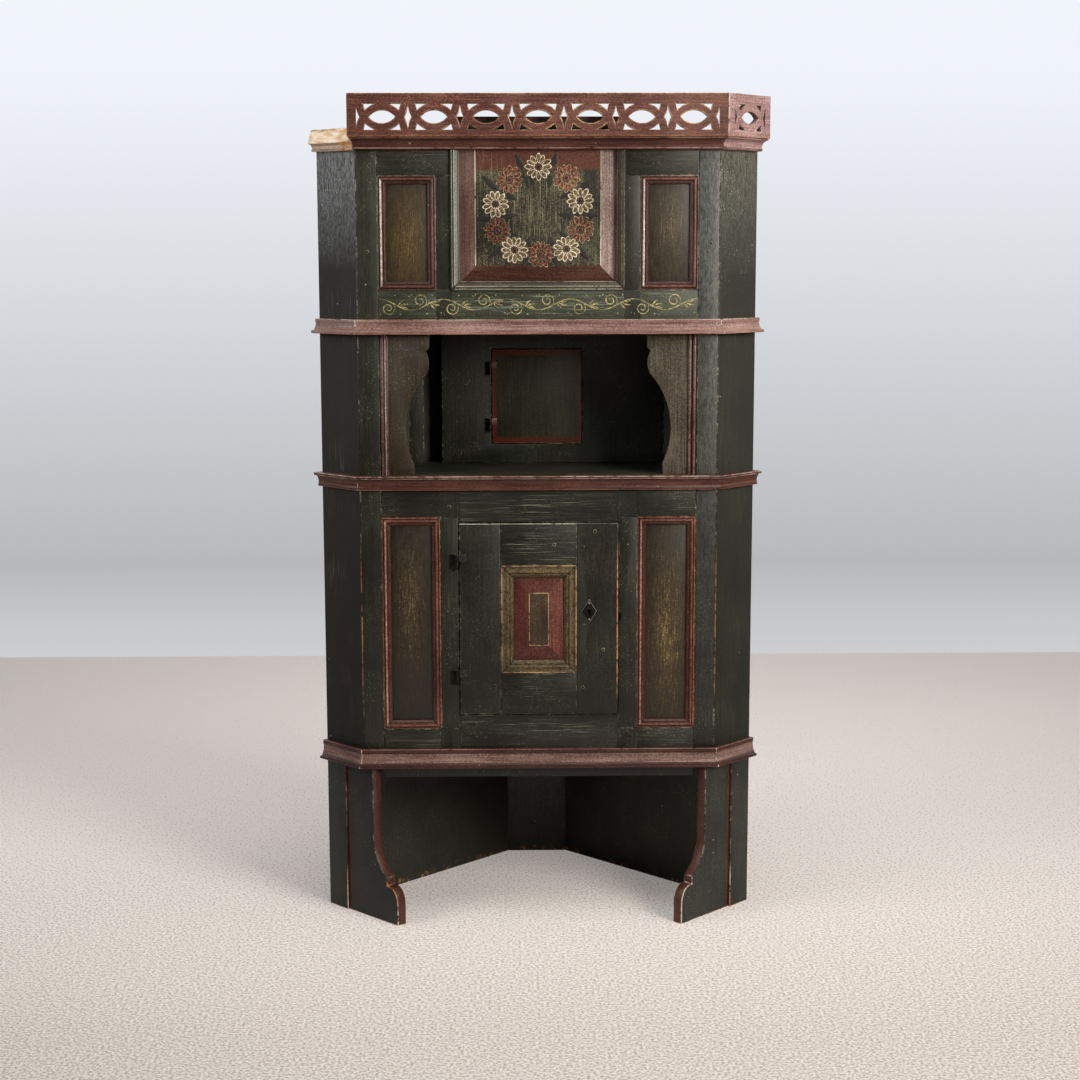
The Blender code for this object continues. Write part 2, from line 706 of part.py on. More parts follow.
def fret_board(left, right, units, mitred, place):
    """A pierced board: the outline and its holes are filled between, then given their thickness."""
    pitch = (right - left - 2 * FRET_END) / units
    first = left + FRET_END + pitch / 2
    half = SLIT_WIDE / 2
    outlines = [rectangle(left, right, 0, GALLERY_H)]
    for unit in range(units):
        outlines += fret_holes(first + unit * pitch, FRET_MIDDLE)
    for gap in range(units + 1):
        center = left + FRET_END + gap * pitch
        outlines.append(slit_hole(center, FRET_MIDDLE, half if gap else 0, half if gap < units else 0))
    bm = bmesh.new()
    for outline in outlines:
        corners = [bm.verts.new((u, 0, w)) for u, w in outline]
        for k, corner in enumerate(corners):
            bm.edges.new((corner, corners[k - 1]))
    bmesh.ops.triangle_fill(bm, edges=bm.edges[:], use_beauty=True)
    pushed = bmesh.ops.extrude_face_region(bm, geom=bm.faces[:])["geom"]
    inner = [item for item in pushed if isinstance(item, bmesh.types.BMVert)]
    for vert in inner:
        if mitred[0] and vert.co.x < left + GAP:
            vert.co.x += MITRE * GALLERY_T
        if mitred[1] and vert.co.x > right - GAP:
            vert.co.x -= MITRE * GALLERY_T
    bmesh.ops.translate(bm, verts=inner, vec=Vector((0, GALLERY_T, 0)))
    for vert in bm.verts:
        vert.co = place(vert.co.x, vert.co.y, vert.co.z)
    return bm


def build_gallery():
    stand = CORNICE_TOP + GAP
    half = FRONT_HALF + MITRE * GALLERY_OUT
    board = fret_board(-half, half, FRET_UNITS, (True, True),
                       lambda u, deep, w: Vector((u, deep - GALLERY_OUT, stand + w)))
    link("gallery_front", board, RED)
    corner = -MITRE * GALLERY_OUT
    board = fret_board(corner + GAP, CANT_L, 1, (True, False),
                       lambda u, deep, w: on_cant(1, u, deep - GALLERY_OUT, stand + w))
    link("gallery_return", board, RED)


def fielded(low, high, flat, bevel, rise):
    """A panel whose front has a flat edge, a bevel and a raised field."""
    bm = block(low, high)
    bmesh.ops.recalc_face_normals(bm, faces=bm.faces)
    face = min(bm.faces, key=lambda item: item.normal.y)
    bmesh.ops.inset_region(bm, faces=[face], thickness=flat, use_even_offset=True)
    bmesh.ops.inset_region(bm, faces=[face], thickness=bevel, depth=rise, use_even_offset=True)
    return bm


def build_hatch():
    half = HATCH_OPEN_HALF + HATCH_TONGUE
    low = HATCH_LOW + GAP
    edge = GROOVE_FRONT + GROOVE_PLAY
    axis = axis_empty("hatch_axis", (0, edge, low))
    panel = fielded((-half, edge, low), (half, GROOVE_BACK - GROOVE_PLAY, HATCH_TOP),
                    HATCH_TONGUE, HATCH_BEVEL, edge - HATCH_FIELD)
    link("hatch_panel", panel, OLIVE, axis)

    outer = HATCH_OPEN_HALF + HATCH_STRIP_W
    top = BODY_TOP - GAP
    path = [Vector((-outer, 0, top)), Vector((-outer, 0, UPPER_PANEL_LOW)),
            Vector((outer, 0, UPPER_PANEL_LOW)), Vector((outer, 0, top))]
    face = [(-HATCH_STRIP_W * across, HATCH_STRIP_T * rise) for across, rise in HATCH_STRIP_PROFILE]
    section = [(0, GAP)] + face + [(-HATCH_STRIP_W, GAP)]
    link("hatch_moulding", sweep(path, Vector((0, -1, 0)), section), GREEN)


def build_niche():
    low = NICHE_LOW + GAP
    high = NICHE_TOP - GAP
    back = NICHE_DEPTH + NICHE_BACK_T
    wall = WALL_IN_SUM - ROOT2 * GAP
    strip = [(-(wall - NICHE_DEPTH), NICHE_DEPTH), (-NICHE_SLOT_OUT, NICHE_DEPTH),
             (-NICHE_SLOT_OUT, back), (-(wall - back), back)]
    link("niche_back_strip", plan(strip, low, high), GREEN)
    board = [(-NICHE_SLOT_IN, NICHE_DEPTH), (wall - NICHE_DEPTH, NICHE_DEPTH),
             (wall - back, back), (-NICHE_SLOT_IN, back)]
    panel = link("niche_back_panel", plan(board, low, high), GREEN)
    door_low = NICHE_LOW + NICHE_DOOR_LIFT
    room_half = NICHE_DOOR_HALF + DOOR_PLAY
    room = block((-room_half, NICHE_DEPTH - NICHE_BACK_T, door_low - DOOR_PLAY),
                 (room_half, back + NICHE_BACK_T, door_low + NICHE_DOOR_H + DOOR_PLAY))
    combine(panel, helper("niche_door_room", room), "DIFFERENCE")

    face = NICHE_DEPTH - DOOR_PROUD
    place = (-NICHE_DOOR_HALF - HINGE_AXIS_SIDE, face - HINGE_AXIS_OUT, door_low)
    axis = axis_empty("niche_door_axis", place)
    leaf = block((-NICHE_DOOR_HALF, face, door_low),
                 (NICHE_DOOR_HALF, face + NICHE_DOOR_T, door_low + NICHE_DOOR_H))
    link("niche_door", leaf, OCHRE, axis)
    heights = {"lower": door_low + NICHE_HINGE_INSET, "upper": door_low + NICHE_DOOR_H - NICHE_HINGE_INSET}
    for name, height in heights.items():
        build_hinge(f"niche_hinge_%s_{name}", axis, NICHE_DEPTH, face, height,
                    NICHE_HINGE_H, NICHE_HINGE_LEAF)

    cusp = (STILE_IN - BRACKET_CUSP_W, NICHE_TOP - BRACKET_CUSP_H)
    belly = (STILE_IN - BRACKET_BELLY_W, NICHE_TOP - BRACKET_BELLY_H)
    neck = (STILE_IN - BRACKET_NECK_W, NICHE_TOP - BRACKET_NECK_H)
    waist = (STILE_IN - BRACKET_WAIST_W, NICHE_TOP - BRACKET_WAIST_H)
    foot = (STILE_IN - BRACKET_FOOT_W, NICHE_LOW + BRACKET_FOOT_H)
    lip = STILE_IN - BRACKET_LIP_W
    outline = [(STILE_IN - GAP, low), (STILE_IN - GAP, high), (lip, high), (lip, NICHE_TOP - BRACKET_LIP_H)]
    outline += joined(arc_through(cusp, belly, neck), arc_through(neck, waist, foot, 2 * ARC_STEPS))
    outline += [foot, (foot[0], low)]
    for name, side in SIDES:
        bracket = front(mirrored(outline, side), BRACKET_FACE, BRACKET_FACE + BRACKET_T)
        bracket = link(f"niche_bracket_{name}", bracket, OCHRE)
        for bead in range(2):
            x = side * (STILE_IN - GAP - BEAD_R - bead * (2 * BEAD_R + GAP))
            rod = round_bar((x, BRACKET_FACE), BEAD_R, low, high)
            combine(bracket, helper(f"bead_{name}_{bead}", rod), "UNION")


def build_hinge(name, axis, frame_face, door_face, height, tall, leaf):
    """A pin on the frame and an eye on the door that turns on it."""
    x, y = axis.location.x, axis.location.y
    low = height - tall / 2
    high = height + tall / 2
    plate = block((x - leaf, frame_face - GAP - LEAF_T, low), (x, frame_face - GAP, high))
    pin = link(name % "pin", plate, IRON)
    neck = arc((x, y), KNUCKLE_R, -math.pi, 0, ROUND_STEPS // 2)
    root = frame_face - GAP - LEAF_T / 2
    neck += [(x + KNUCKLE_R, root), (x - KNUCKLE_R, root)]
    combine(pin, helper(f"{pin.name}_knuckle", plan(neck, low, height - GAP)), "UNION")
    rod = round_bar((x, y), PIN_R, low + tall / 4, high)
    combine(pin, helper(f"{pin.name}_rod", rod), "UNION")

    barrel = round_bar((x, y), KNUCKLE_R, height, high)
    eye = link(name % "eye", barrel, IRON, axis)
    seat = door_face - GAP
    strap = block((x, seat - LEAF_T, height), (x + HINGE_AXIS_SIDE + leaf, seat, high))
    combine(eye, helper(f"{eye.name}_strap", strap), "UNION")
    bore = round_bar((x, y), PIN_R + PIN_PLAY, low, high + tall)
    combine(eye, helper(f"{eye.name}_bore", bore), "DIFFERENCE")


def keyhole(center, top):
    """Outline of a keyhole: a round head over a slot."""
    half = KEYHOLE_SLOT_W / 2
    turn = math.asin(half / KEYHOLE_R)
    head = arc((center, top), KEYHOLE_R, turn - math.radians(90), math.radians(270) - turn, ROUND_STEPS)
    return head + [(center - half, top - KEYHOLE_SLOT_H), (center + half, top - KEYHOLE_SLOT_H)]


def build_door():
    face = -DOOR_PROUD
    back = DOOR_T - DOOR_PROUD
    low = DOOR_LOW + DOOR_PLAY
    high = DOOR_TOP - DOOR_PLAY
    open_half = DOOR_HALF - DOOR_STILE_W
    open_low = low + DOOR_RAIL_H
    open_high = high - DOOR_RAIL_H
    axis = axis_empty("lower_door_axis", (-DOOR_HALF - HINGE_AXIS_SIDE, face - HINGE_AXIS_OUT, low))

    hole = keyhole(LOCK_X, LOCK_Z)
    for name, side in SIDES:
        outline = mirrored(rectangle(open_half, DOOR_HALF, low, high), side)
        stile = link(f"door_stile_{name}", front(outline, face, back), GREEN, axis)
    combine(stile, helper("keyhole_in_stile", front(hole, face - DOOR_T, back + DOOR_T)), "DIFFERENCE")
    edge = open_half - GAP
    link("door_rail_top", front(rectangle(-edge, edge, open_high, high), face, back), GREEN, axis)
    link("door_rail_bottom", front(rectangle(-edge, edge, low, open_low), face, back), GREEN, axis)

    panel = fielded((-edge, DOOR_PANEL_EDGE, open_low + GAP), (edge, back, open_high - GAP),
                    DOOR_MOULDING_W, DOOR_PANEL_BEVEL, DOOR_PANEL_RAISE)
    link("door_panel", panel, RED, axis)
    proud = DOOR_MOULDING_PROUD - face
    section = planted_section(DOOR_PROFILE, DOOR_MOULDING_W, proud, DOOR_PANEL_EDGE - GAP)
    ring = ring_path(-edge, edge, open_low + GAP, open_high - GAP)
    link("door_moulding", sweep(ring, Vector((0, -1, 0)), section, closed=True), OLIVE, axis)

    heights = {"lower": low + DOOR_HINGE_INSET, "upper": high - DOOR_HINGE_INSET}
    for name, height in heights.items():
        build_hinge(f"door_hinge_%s_{name}", axis, 0, face, height, DOOR_HINGE_H, DOOR_HINGE_LEAF)
    build_lock(axis, face, back, hole)


def build_lock(axis, face, back, hole):
    wide = ESCUTCHEON_W / 2
    tall = ESCUTCHEON_H / 2
    rhomb = [(LOCK_X - wide, LOCK_Z), (LOCK_X, LOCK_Z - tall),
             (LOCK_X + wide, LOCK_Z), (LOCK_X, LOCK_Z + tall)]
    plate = link("escutcheon", front(rhomb, face - GAP - ESCUTCHEON_T, face - GAP), IRON, axis)
    through = front(hole, face - ESCUTCHEON_T - DOOR_T, face + DOOR_T)
    combine(plate, helper("keyhole_in_plate", through), "DIFFERENCE")

    right = DOOR_HALF - LOCK_EDGE
    near = back + GAP
    case = block((right - LOCK_CASE_W, near, LOCK_Z - LOCK_CASE_H / 2),
                 (right, near + LOCK_CASE_T, LOCK_Z + LOCK_CASE_H / 2))
    case = link("lock_case", case, IRON, axis)
    bolt_near = near + (LOCK_CASE_T - BOLT_T) / 2
    bolt_low = STRIKE_Z - BOLT_H / 2
    start = right + BOLT_SHOW - BOLT_L
    room = block((start - GAP, bolt_near - GAP, bolt_low - GAP),
                 (right + BOLT_L, bolt_near + BOLT_T + GAP, bolt_low + BOLT_H + GAP))
    combine(case, helper("bolt_room", room), "DIFFERENCE")
    slide = empty_at("lock_bolt_axis", Vector((start, bolt_near, bolt_low)) - axis.location, axis)
    bolt = block((start, bolt_near, bolt_low), (right + BOLT_SHOW, bolt_near + BOLT_T, bolt_low + BOLT_H))
    bolt = link("lock_bolt", bolt, IRON, slide)
    bolt.location -= axis.location


def main():
    clear_scene()
    empty_at("cabinet", (0, -MID_DEPTH, 0))
    build_carcass()
    build_feet()
    build_frame()
    build_panels()
    build_mouldings()
    build_gallery()
    build_hatch()
    build_niche()
    build_door()


main()
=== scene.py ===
import json
import math
import random
from functools import partial
from types import SimpleNamespace

import bpy
from mathutils import Matrix, Vector

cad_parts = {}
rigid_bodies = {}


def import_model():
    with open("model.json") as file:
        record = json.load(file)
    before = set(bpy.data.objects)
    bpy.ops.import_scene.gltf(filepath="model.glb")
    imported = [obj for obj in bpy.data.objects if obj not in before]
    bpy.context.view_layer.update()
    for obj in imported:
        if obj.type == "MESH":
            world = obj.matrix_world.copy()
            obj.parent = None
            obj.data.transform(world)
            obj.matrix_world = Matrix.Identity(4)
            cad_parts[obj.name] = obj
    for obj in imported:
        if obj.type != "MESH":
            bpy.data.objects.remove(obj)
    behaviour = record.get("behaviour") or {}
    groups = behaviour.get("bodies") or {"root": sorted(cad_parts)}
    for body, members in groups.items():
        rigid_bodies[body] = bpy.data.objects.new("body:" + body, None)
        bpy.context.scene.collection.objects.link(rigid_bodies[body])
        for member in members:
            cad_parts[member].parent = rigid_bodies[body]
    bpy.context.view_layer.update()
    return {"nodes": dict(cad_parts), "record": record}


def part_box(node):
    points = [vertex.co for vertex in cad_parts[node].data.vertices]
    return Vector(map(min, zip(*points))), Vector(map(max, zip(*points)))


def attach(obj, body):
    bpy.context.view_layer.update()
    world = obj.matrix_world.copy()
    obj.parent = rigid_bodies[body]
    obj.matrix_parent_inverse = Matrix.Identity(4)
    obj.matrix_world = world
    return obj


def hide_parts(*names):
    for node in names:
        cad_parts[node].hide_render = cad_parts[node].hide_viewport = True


for leftover in list(bpy.data.objects):
    bpy.data.objects.remove(leftover)
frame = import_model()
nodes = frame["nodes"]
record = frame["record"]
bodyOf = {node: body for body, members in record["behaviour"]["bodies"].items() for node in members}
slotOf = {row["node"]: row["material_slot"] for row in record["subparts"]}
dice = random.Random(1843)
print("frame loaded:", len(nodes), "solids")

# the camera stands where the photographer stood
camera = {
    "place": (-0.0527, -3.9151, 1.3288),
    "turn": (math.radians(90 - 8.51), 0.0019, -0.0151),
    "lens": 63.54,
}
bpy.ops.object.camera_add(location=camera["place"], rotation=camera["turn"])
eye = bpy.context.active_object
eye.name = "photoCamera"
eye.data.lens = camera["lens"]
eye.data.sensor_width = 36
bpy.context.scene.camera = eye
bpy.context.scene.view_settings.view_transform = "Standard"
print("camera set")


def hexColour(code):
    parts = [int(code[k:k + 2], 16) / 255 for k in (1, 3, 5)]
    return [p / 12.92 if p <= 0.04045 else ((p + 0.055) / 1.055) ** 2.4 for p in parts] + [1.0]


# a node or one of its outputs is linked, a hex code becomes a colour, a number is set
def plug(node, inputs):
    for key, value in inputs.items():
        if isinstance(value, bpy.types.Node):
            value = value.outputs[0]
        if isinstance(value, bpy.types.NodeSocket):
            node.id_data.links.new(value, node.inputs[key])
        elif isinstance(value, str):
            node.inputs[key].default_value = hexColour(value)
        else:
            node.inputs[key].default_value = value


def addNode(tree, kind, inputs=None, stops=None, span=None, **settings):
    node = tree.nodes.new("ShaderNode" + kind)
    for key, value in settings.items():
        setattr(node, key, value)
    plug(node, inputs or {})
    if stops:
        ramp = node.color_ramp.elements
        ramp[0].position, ramp[0].color = stops[0][0], hexColour(stops[0][1])
        ramp[1].position, ramp[1].color = stops[-1][0], hexColour(stops[-1][1])
        for place, tone in stops[1:-1]:
            ramp.new(place).color = hexColour(tone)
    plug(node, dict(zip(("From Min", "From Max", "To Min", "To Max"), span or ())))
    return node


def newFinish(name):
    material = bpy.data.materials.new(name)
    material.use_nodes = True
    add = partial(addNode, material.node_tree)
    return material, add, material.node_tree.nodes["Principled BSDF"], add("TexCoord").outputs["Object"]


# sizes in metres of what the brush and the years left in the paint;
# brush hairs and grit are finer than a pixel, so both are drawn about 3 mm apart to show at all
brushwork = {
    "hairApart": 0.0026, "hairLong": 0.085, "grit": 0.0028, "patch": 0.11, "ragged": 0.005, "soft": 0.0015,
    "crisp": 0.0004, "smear": 0.0030, "smearLong": 0.011, "scrapeApart": 0.0014, "scrapeLong": 0.075,
    "fleck": 0.0030, "fleckZone": 0.055, "speckCell": 0.030, "chip": 0.013, "relief": 0.0004,
}


def grainAlong(run, apart, along):
    return {
        "up": (1 / apart, 1 / apart, 1 / along),
        "level": (1 / along, 1 / along, 1 / apart),
        "flat": (1 / along, 1 / apart, 1 / apart),
        "round": (0.4 / apart, 0.4 / apart, 0.4 / apart),
    }[run]


# how far a spot lies from the middle of a zone, as a share of the zone's half sizes
def farFrom(add, spot, middle, half):
    away = add("VectorMath", {0: spot, 1: (middle[0], 0, middle[1])}, operation="SUBTRACT")
    scaled = add("VectorMath", {0: away, 1: (1 / half[0], 0, 1 / half[1])}, operation="MULTIPLY")
    return add("VectorMath", {0: scaled}, operation="LENGTH").outputs["Value"]


# what lies over the ground of a paint: each coat gives where it shows and its colour
def capCoat(brush, dark, pale, low):  # a second colour above a ragged line
    ragged, soft = brushwork["ragged"], brushwork["soft"]
    frayed = brush.add("MapRange", {0: brush.hairs}, span=(0.3, 0.7, -ragged, ragged))
    line = brush.add("Math", {0: brush.height, 1: frayed}, operation="ADD")
    above = brush.add("MapRange", {0: line}, span=(low - soft, low + soft))
    return above, brush.add("ValToRGB", {"Fac": brush.grit}, stops=[(0.4, dark), (0.6, pale)])


def borderCoat(brush, tone, middle, half):  # a painted edge round a panel
    away = brush.add("VectorMath", {0: brush.spot, 1: middle}, operation="SUBTRACT")
    apart = brush.add("SeparateXYZ", {0: brush.add("VectorMath", {0: away}, operation="ABSOLUTE")})
    pastX = brush.add("Math", {0: apart.outputs["X"], 1: half[0]}, operation="SUBTRACT")
    pastZ = brush.add("Math", {0: apart.outputs["Z"], 1: half[1]}, operation="SUBTRACT")
    edge = brush.add("Math", {0: pastX, 1: pastZ}, operation="MAXIMUM")
    return brush.add("MapRange", {0: edge}, span=(-brushwork["crisp"], brushwork["crisp"])), tone


def bloomCoat(brush, tone, low, high, share):  # grey chalkiness of old paint, together with a painted sheen and painted light from above: it thickens upward and breaks into smears
    grain = grainAlong(brush.run, brushwork["smear"], brushwork["smearLong"])
    rubbed = brush.add("VectorMath", {0: brush.spot, 1: grain}, operation="MULTIPLY")
    smear = brush.add("TexNoise", {"Vector": rubbed, "Scale": 1.0, "Detail": 5.0, "Roughness": 0.75})
    veil = brush.add("MapRange", {0: smear}, span=(0.38, 0.64, 0.1, 1.5))
    rise = brush.add("MapRange", {0: brush.height}, span=(low, high, 0.0, share))
    return brush.add("Math", {0: rise, 1: veil}, operation="MULTIPLY", use_clamp=True), tone


def scrapeCoat(brush, tone, share, *zones):  # long thin scratches, thickest in the zones named
    grain = grainAlong(brush.run, brushwork["scrapeApart"], brushwork["scrapeLong"])
    along = brush.add("VectorMath", {0: brush.spot, 1: grain}, operation="MULTIPLY")
    lines = brush.add("TexNoise", {"Vector": along, "Scale": 1.0, "Detail": 4.0, "Roughness": 0.6})
    thin = brush.add("MapRange", {0: lines}, span=(0.58, 0.66))
    cloud = brush.add("TexNoise", {"Vector": brush.spot, "Scale": 1 / brushwork["patch"], "Detail": 1.0})
    here = brush.add("MapRange", {0: cloud}, span=(0.46, 0.66, 0.0, share * 0.45))
    for middle, half in zones:
        far = farFrom(brush.add, brush.spot, middle, half)
        inZone = brush.add("MapRange", {0: far}, span=(0.35, 1.0, share, 0.0))
        here = brush.add("Math", {0: here, 1: inZone}, operation="MAXIMUM")
    return brush.add("Math", {0: thin, 1: here}, operation="MULTIPLY"), tone


def fleckCoat(brush, tone, share, *rise):  # clusters of pale flecks, thicker upward if heights are given
    dots = brush.add("TexNoise", {"Vector": brush.spot, "Scale": 1 / brushwork["fleck"], "Detail": 1.0})
    sharp = brush.add("MapRange", {0: dots}, span=(0.66, 0.71))
    cloud = brush.add("TexNoise", {"Vector": brush.spot, "Scale": 1 / brushwork["fleckZone"], "Detail": 2.0})
    where = brush.add("MapRange", {0: cloud}, span=(0.45, 0.62, 0.0, share))
    if rise:
        upper = brush.add("MapRange", {0: brush.height}, span=(*rise, 0.0, share))
        where = brush.add("Math", {0: where, 1: upper}, operation="MULTIPLY")
    return brush.add("Math", {0: sharp, 1: where}, operation="MULTIPLY"), tone


def speckCoat(brush, tone, share):  # single specks of white
    cells = brush.add("TexVoronoi", {"Vector": brush.spot, "Scale": 1 / brushwork["speckCell"]})
    near = brush.add("MapRange", {0: cells.outputs["Distance"]}, span=(0.03, 0.055, 1.0, 0.0))
    draw = brush.add("SeparateColor", {0: cells.outputs["Color"]})
    lucky = brush.add("Math", {0: draw, 1: 1 - share}, operation="GREATER_THAN")
    return brush.add("Math", {0: near, 1: lucky}, operation="MULTIPLY"), tone


def chipCoat(brush, dark, pale, share, *reach):  # chips to the primer, between two heights if these are given
    size = 1 / brushwork["chip"]
    flakes = brush.add("TexNoise", {"Vector": brush.spot, "Scale": size, "Detail": 5.0, "Roughness": 0.7})
    start = 0.5 + (0.5 - share) * 0.3
    bare = brush.add("MapRange", {0: flakes}, span=(start - 0.04, start + 0.04))
    if reach:
        low, high, fade = reach
        over = brush.add("MapRange", {0: brush.height}, span=(low - fade, low + fade))
        under = brush.add("MapRange", {0: brush.height}, span=(high - fade, high + fade, 1.0, 0.0))
        window = brush.add("Math", {0: over, 1: under}, operation="MULTIPLY")
        bare = brush.add("Math", {0: bare, 1: window}, operation="MULTIPLY")
    brush.relief = brush.add("Math", {0: brush.relief, 1: bare}, operation="SUBTRACT")
    return bare, brush.add("ValToRGB", {"Fac": brush.patch}, stops=[(0.4, dark), (0.6, pale)])


coats = {"cap": capCoat, "border": borderCoat, "bloom": bloomCoat, "scrape": scrapeCoat, "fleck": fleckCoat,
         "speck": speckCoat, "chip": chipCoat, "lowChip": chipCoat}


# linseed-oil paint brushed by hand on pine: streaks along the board, a soft uneven gloss,
# and over that ground the coats and marks that a finish names
def oilPaint(name, base, tones="", **more):
    look = dict(base, **more)
    look.update(zip(("deep", "body", "pale"), tones.split()))
    material, add, shader, spot = newFinish("oilPaint" + name)
    run = look.get("run", "round")
    grain = grainAlong(run, brushwork["hairApart"], brushwork["hairLong"])
    strands = add("VectorMath", {0: spot, 1: grain}, operation="MULTIPLY")
    hairs = add("TexNoise", {"Vector": strands, "Scale": 1.0, "Detail": 3.0, "Roughness": 0.65})
    patch = add("TexNoise", {"Vector": spot, "Scale": 1 / brushwork["patch"], "Detail": 3.0})
    grit = add("TexNoise", {"Vector": spot, "Scale": 1 / brushwork["grit"], "Detail": 2.0})
    fine = add("Math", {0: grit, 1: 0.38}, operation="MULTIPLY")
    broad = add("Math", {0: patch, 1: 0.26, 2: fine}, operation="MULTIPLY_ADD")
    level = add("Math", {0: hairs, 1: 0.36, 2: broad}, operation="MULTIPLY_ADD")
    tone = add("ValToRGB", {"Fac": level},
               stops=[(0.43, look["deep"]), (0.5, look["body"]), (0.58, look["pale"])])
    brush = SimpleNamespace(add=add, spot=spot, run=run, hairs=hairs, grit=grit, patch=patch)
    brush.height = add("SeparateXYZ", {0: spot}).outputs["Z"]
    brush.relief = add("Math", {0: grit, 1: 0.5, 2: hairs}, operation="MULTIPLY_ADD")
    for key, coat in coats.items():
        if key in look:
            where, colour = coat(brush, *look[key])
            tone = add("MixRGB", {"Fac": where, "Color1": tone, "Color2": colour})
    gloss = add("MapRange", {0: level}, span=(0.38, 0.62, *look["rough"]))
    bump = add("Bump", {"Height": brush.relief, "Strength": 0.35, "Distance": brushwork["relief"]})
    plug(shader, {"Base Color": tone, "Roughness": gloss, "Normal": bump, "IOR": 1.46})  # dried linseed oil
    return material


# each family of paint has its own ground; the three codes of a finish are its deep, body and pale tones
greenPaint = {
    "deep": "#080a03", "body": "#101207", "pale": "#232517", "rough": (0.40, 0.58),
    # the green ground is painted paler from 0.95 m up to 1.30 m: painted light from above over a grey
    # chalkiness
    "speck": ("#98967f", 0.16), "fleck": ("#6d6c55", 0.6), "bloom": ("#404236", 0.95, 1.30, 0.22),
}
stileGreen = oilPaint("GreenUpright", greenPaint, run="up", scrape=("#5f604d", 0.6))
railGreen = oilPaint(
    "GreenLevel", greenPaint, run="level",
    scrape=("#8e9680", 0.85, ((0.01, 0.838), (0.13, 0.030)), ((-0.015, 0.764), (0.065, 0.030)),
            ((0.02, 0.389), (0.13, 0.024))))
# the upper left cant is painted pale blue-grey: a painted reflection and sheen of the light from the left
leftCantGreen = oilPaint(
    "GreenBloomedLeft", greenPaint, "#080703 #0e0c05 #1a170d", rough=(0.66, 0.84), run="up",
    bloom=("#7a7e81", 1.30, 1.52, 0.95), scrape=("#a6acb0", 0.6), fleck=("#b4b9bc", 0.9, 1.25, 1.45))
# the upper right cant is painted paler grey: a painted sheen from the light on the right
rightCantGreen = oilPaint(
    "GreenBloomedRight", greenPaint, "#0b0c04 #131408 #242616", rough=(0.66, 0.84), run="up",
    bloom=("#6f7166", 1.28, 1.58, 0.62), scrape=("#84877b", 0.4), speck=("#c4c3b6", 0.5),
    fleck=("#b3b4a8", 0.95, 1.22, 1.42))
# the right corner stile is painted paler upward: a painted sheen and painted light from above
rightStileGreen = oilPaint(
    "GreenBlueGrey", greenPaint, "#12120c #1d1e18 #31332e", run="up", bloom=("#5f6360", 0.45, 1.45, 0.6),
    scrape=("#868c88", 0.6))
nichePaint = dict(greenPaint, deep="#1a1c16", body="#23251e", pale="#2f322b")
nicheGreen = oilPaint(
    "GreenNiche", nichePaint, run="up", lowChip=("#a8632c", "#c9a06a", 0.22, -0.03, 0.010, 0.006))
nicheFloorGreen = oilPaint("GreenNicheFloor", nichePaint, run="flat", scrape=("#4d5147", 0.5))
footGreen = oilPaint("GreenFeet", greenPaint, "#121310 #1b1c16 #292b24", run="up", speck=("#b9b7a8", 0.4))
footGreenRight = oilPaint(
    "GreenFootRight", greenPaint, "#181915 #242620 #363931", run="up", speck=("#c4c3b6", 0.6))
# near-black green for the rail below the base moulding: painted shade under the moulding
apronGreen = oilPaint("GreenApron", greenPaint, "#060705 #0a0b08 #141611", run="level")
# the pale lines thickest across the middle of the band are scratches together with a painted sheen
bandTeal = oilPaint(
    "TealBand", greenPaint, "#1e1e12 #2d3023 #454d3b", run="level",
    scrape=("#94a396", 0.9, ((-0.03, 1.236), (0.30, 0.034)), ((0.24, 1.236), (0.06, 0.03))))
wornGreen = oilPaint("GreenWornArris", greenPaint, chip=("#4c4a38", "#8d8c7a", 0.34))
wornWarm = oilPaint(
    "GreenWornToPrimer", greenPaint, chip=("#4c4a38", "#8d8c7a", 0.25),
    lowChip=("#a05a36", "#c08a62", 0.66, 0.47, 0.74, 0.03))
wornFoot = oilPaint(
    "GreenWornToes", greenPaint, chip=("#4c4a38", "#8d8c7a", 0.36),
    lowChip=("#b4774a", "#e3d8c4", 0.62, -0.03, 0.085, 0.012))
darkMitre = oilPaint("DarkMitre", greenPaint, "#050403 #0a0906 #14120c")
wornRing = oilPaint("GreenWornRing", greenPaint, chip=("#55543f", "#8a8972", 0.55))

redPaint = {
    "deep": "#35170f", "body": "#472218", "pale": "#5c372c", "rough": (0.34, 0.52),
    "speck": ("#b79a88", 0.12), "fleck": ("#8a6354", 0.4),
}
redLevel = oilPaint("IronRedLevel", redPaint, run="level", scrape=("#8e6252", 0.5), speck=("#c4ab9a", 0.3))
redUpright = oilPaint("IronRedUpright", redPaint, run="up", scrape=("#8e6252", 0.4))
redBead = oilPaint("IronRedBeads", redPaint, "#28110b #3a1c15 #4e2d22")
redHighBead = oilPaint("IronRedHighBeads", redPaint, "#2b1813 #3e2620 #53382f")
redLowBead = oilPaint("IronRedLowBeads", redPaint, "#301710 #44251b #5b3a2c")
redGallery = oilPaint(
    "IronRedGallery", redPaint, "#43251c #57332a #704b40", run="level", scrape=("#93695b", 0.5),
    fleck=("#a3604e", 0.85), speck=("#d3c2b2", 0.42))
# pale pink red for the runs that face right, the cornice return and the gallery return: a painted sheen from
# the light on the right
redDusty = oilPaint("IronRedDusty", redPaint, "#70524e #907270 #ae9492", rough=(0.5, 0.66), run="level")
# the upper waist moulding is painted much lighter than the lower one, as its cove faces up: painted light from
# above
redWaist = oilPaint(
    "IronRedWaist", redPaint, "#62443a #7f625a #9b8078", run="level", scrape=("#a58a7e", 0.5))
redBase = oilPaint("IronRedBase", redPaint, "#573c35 #755a53 #90766e", run="level", scrape=("#a58a80", 0.5))
redStub = oilPaint("IronRedStub", redPaint, "#8d6f61 #c2a696 #dcc8ba", run="level")
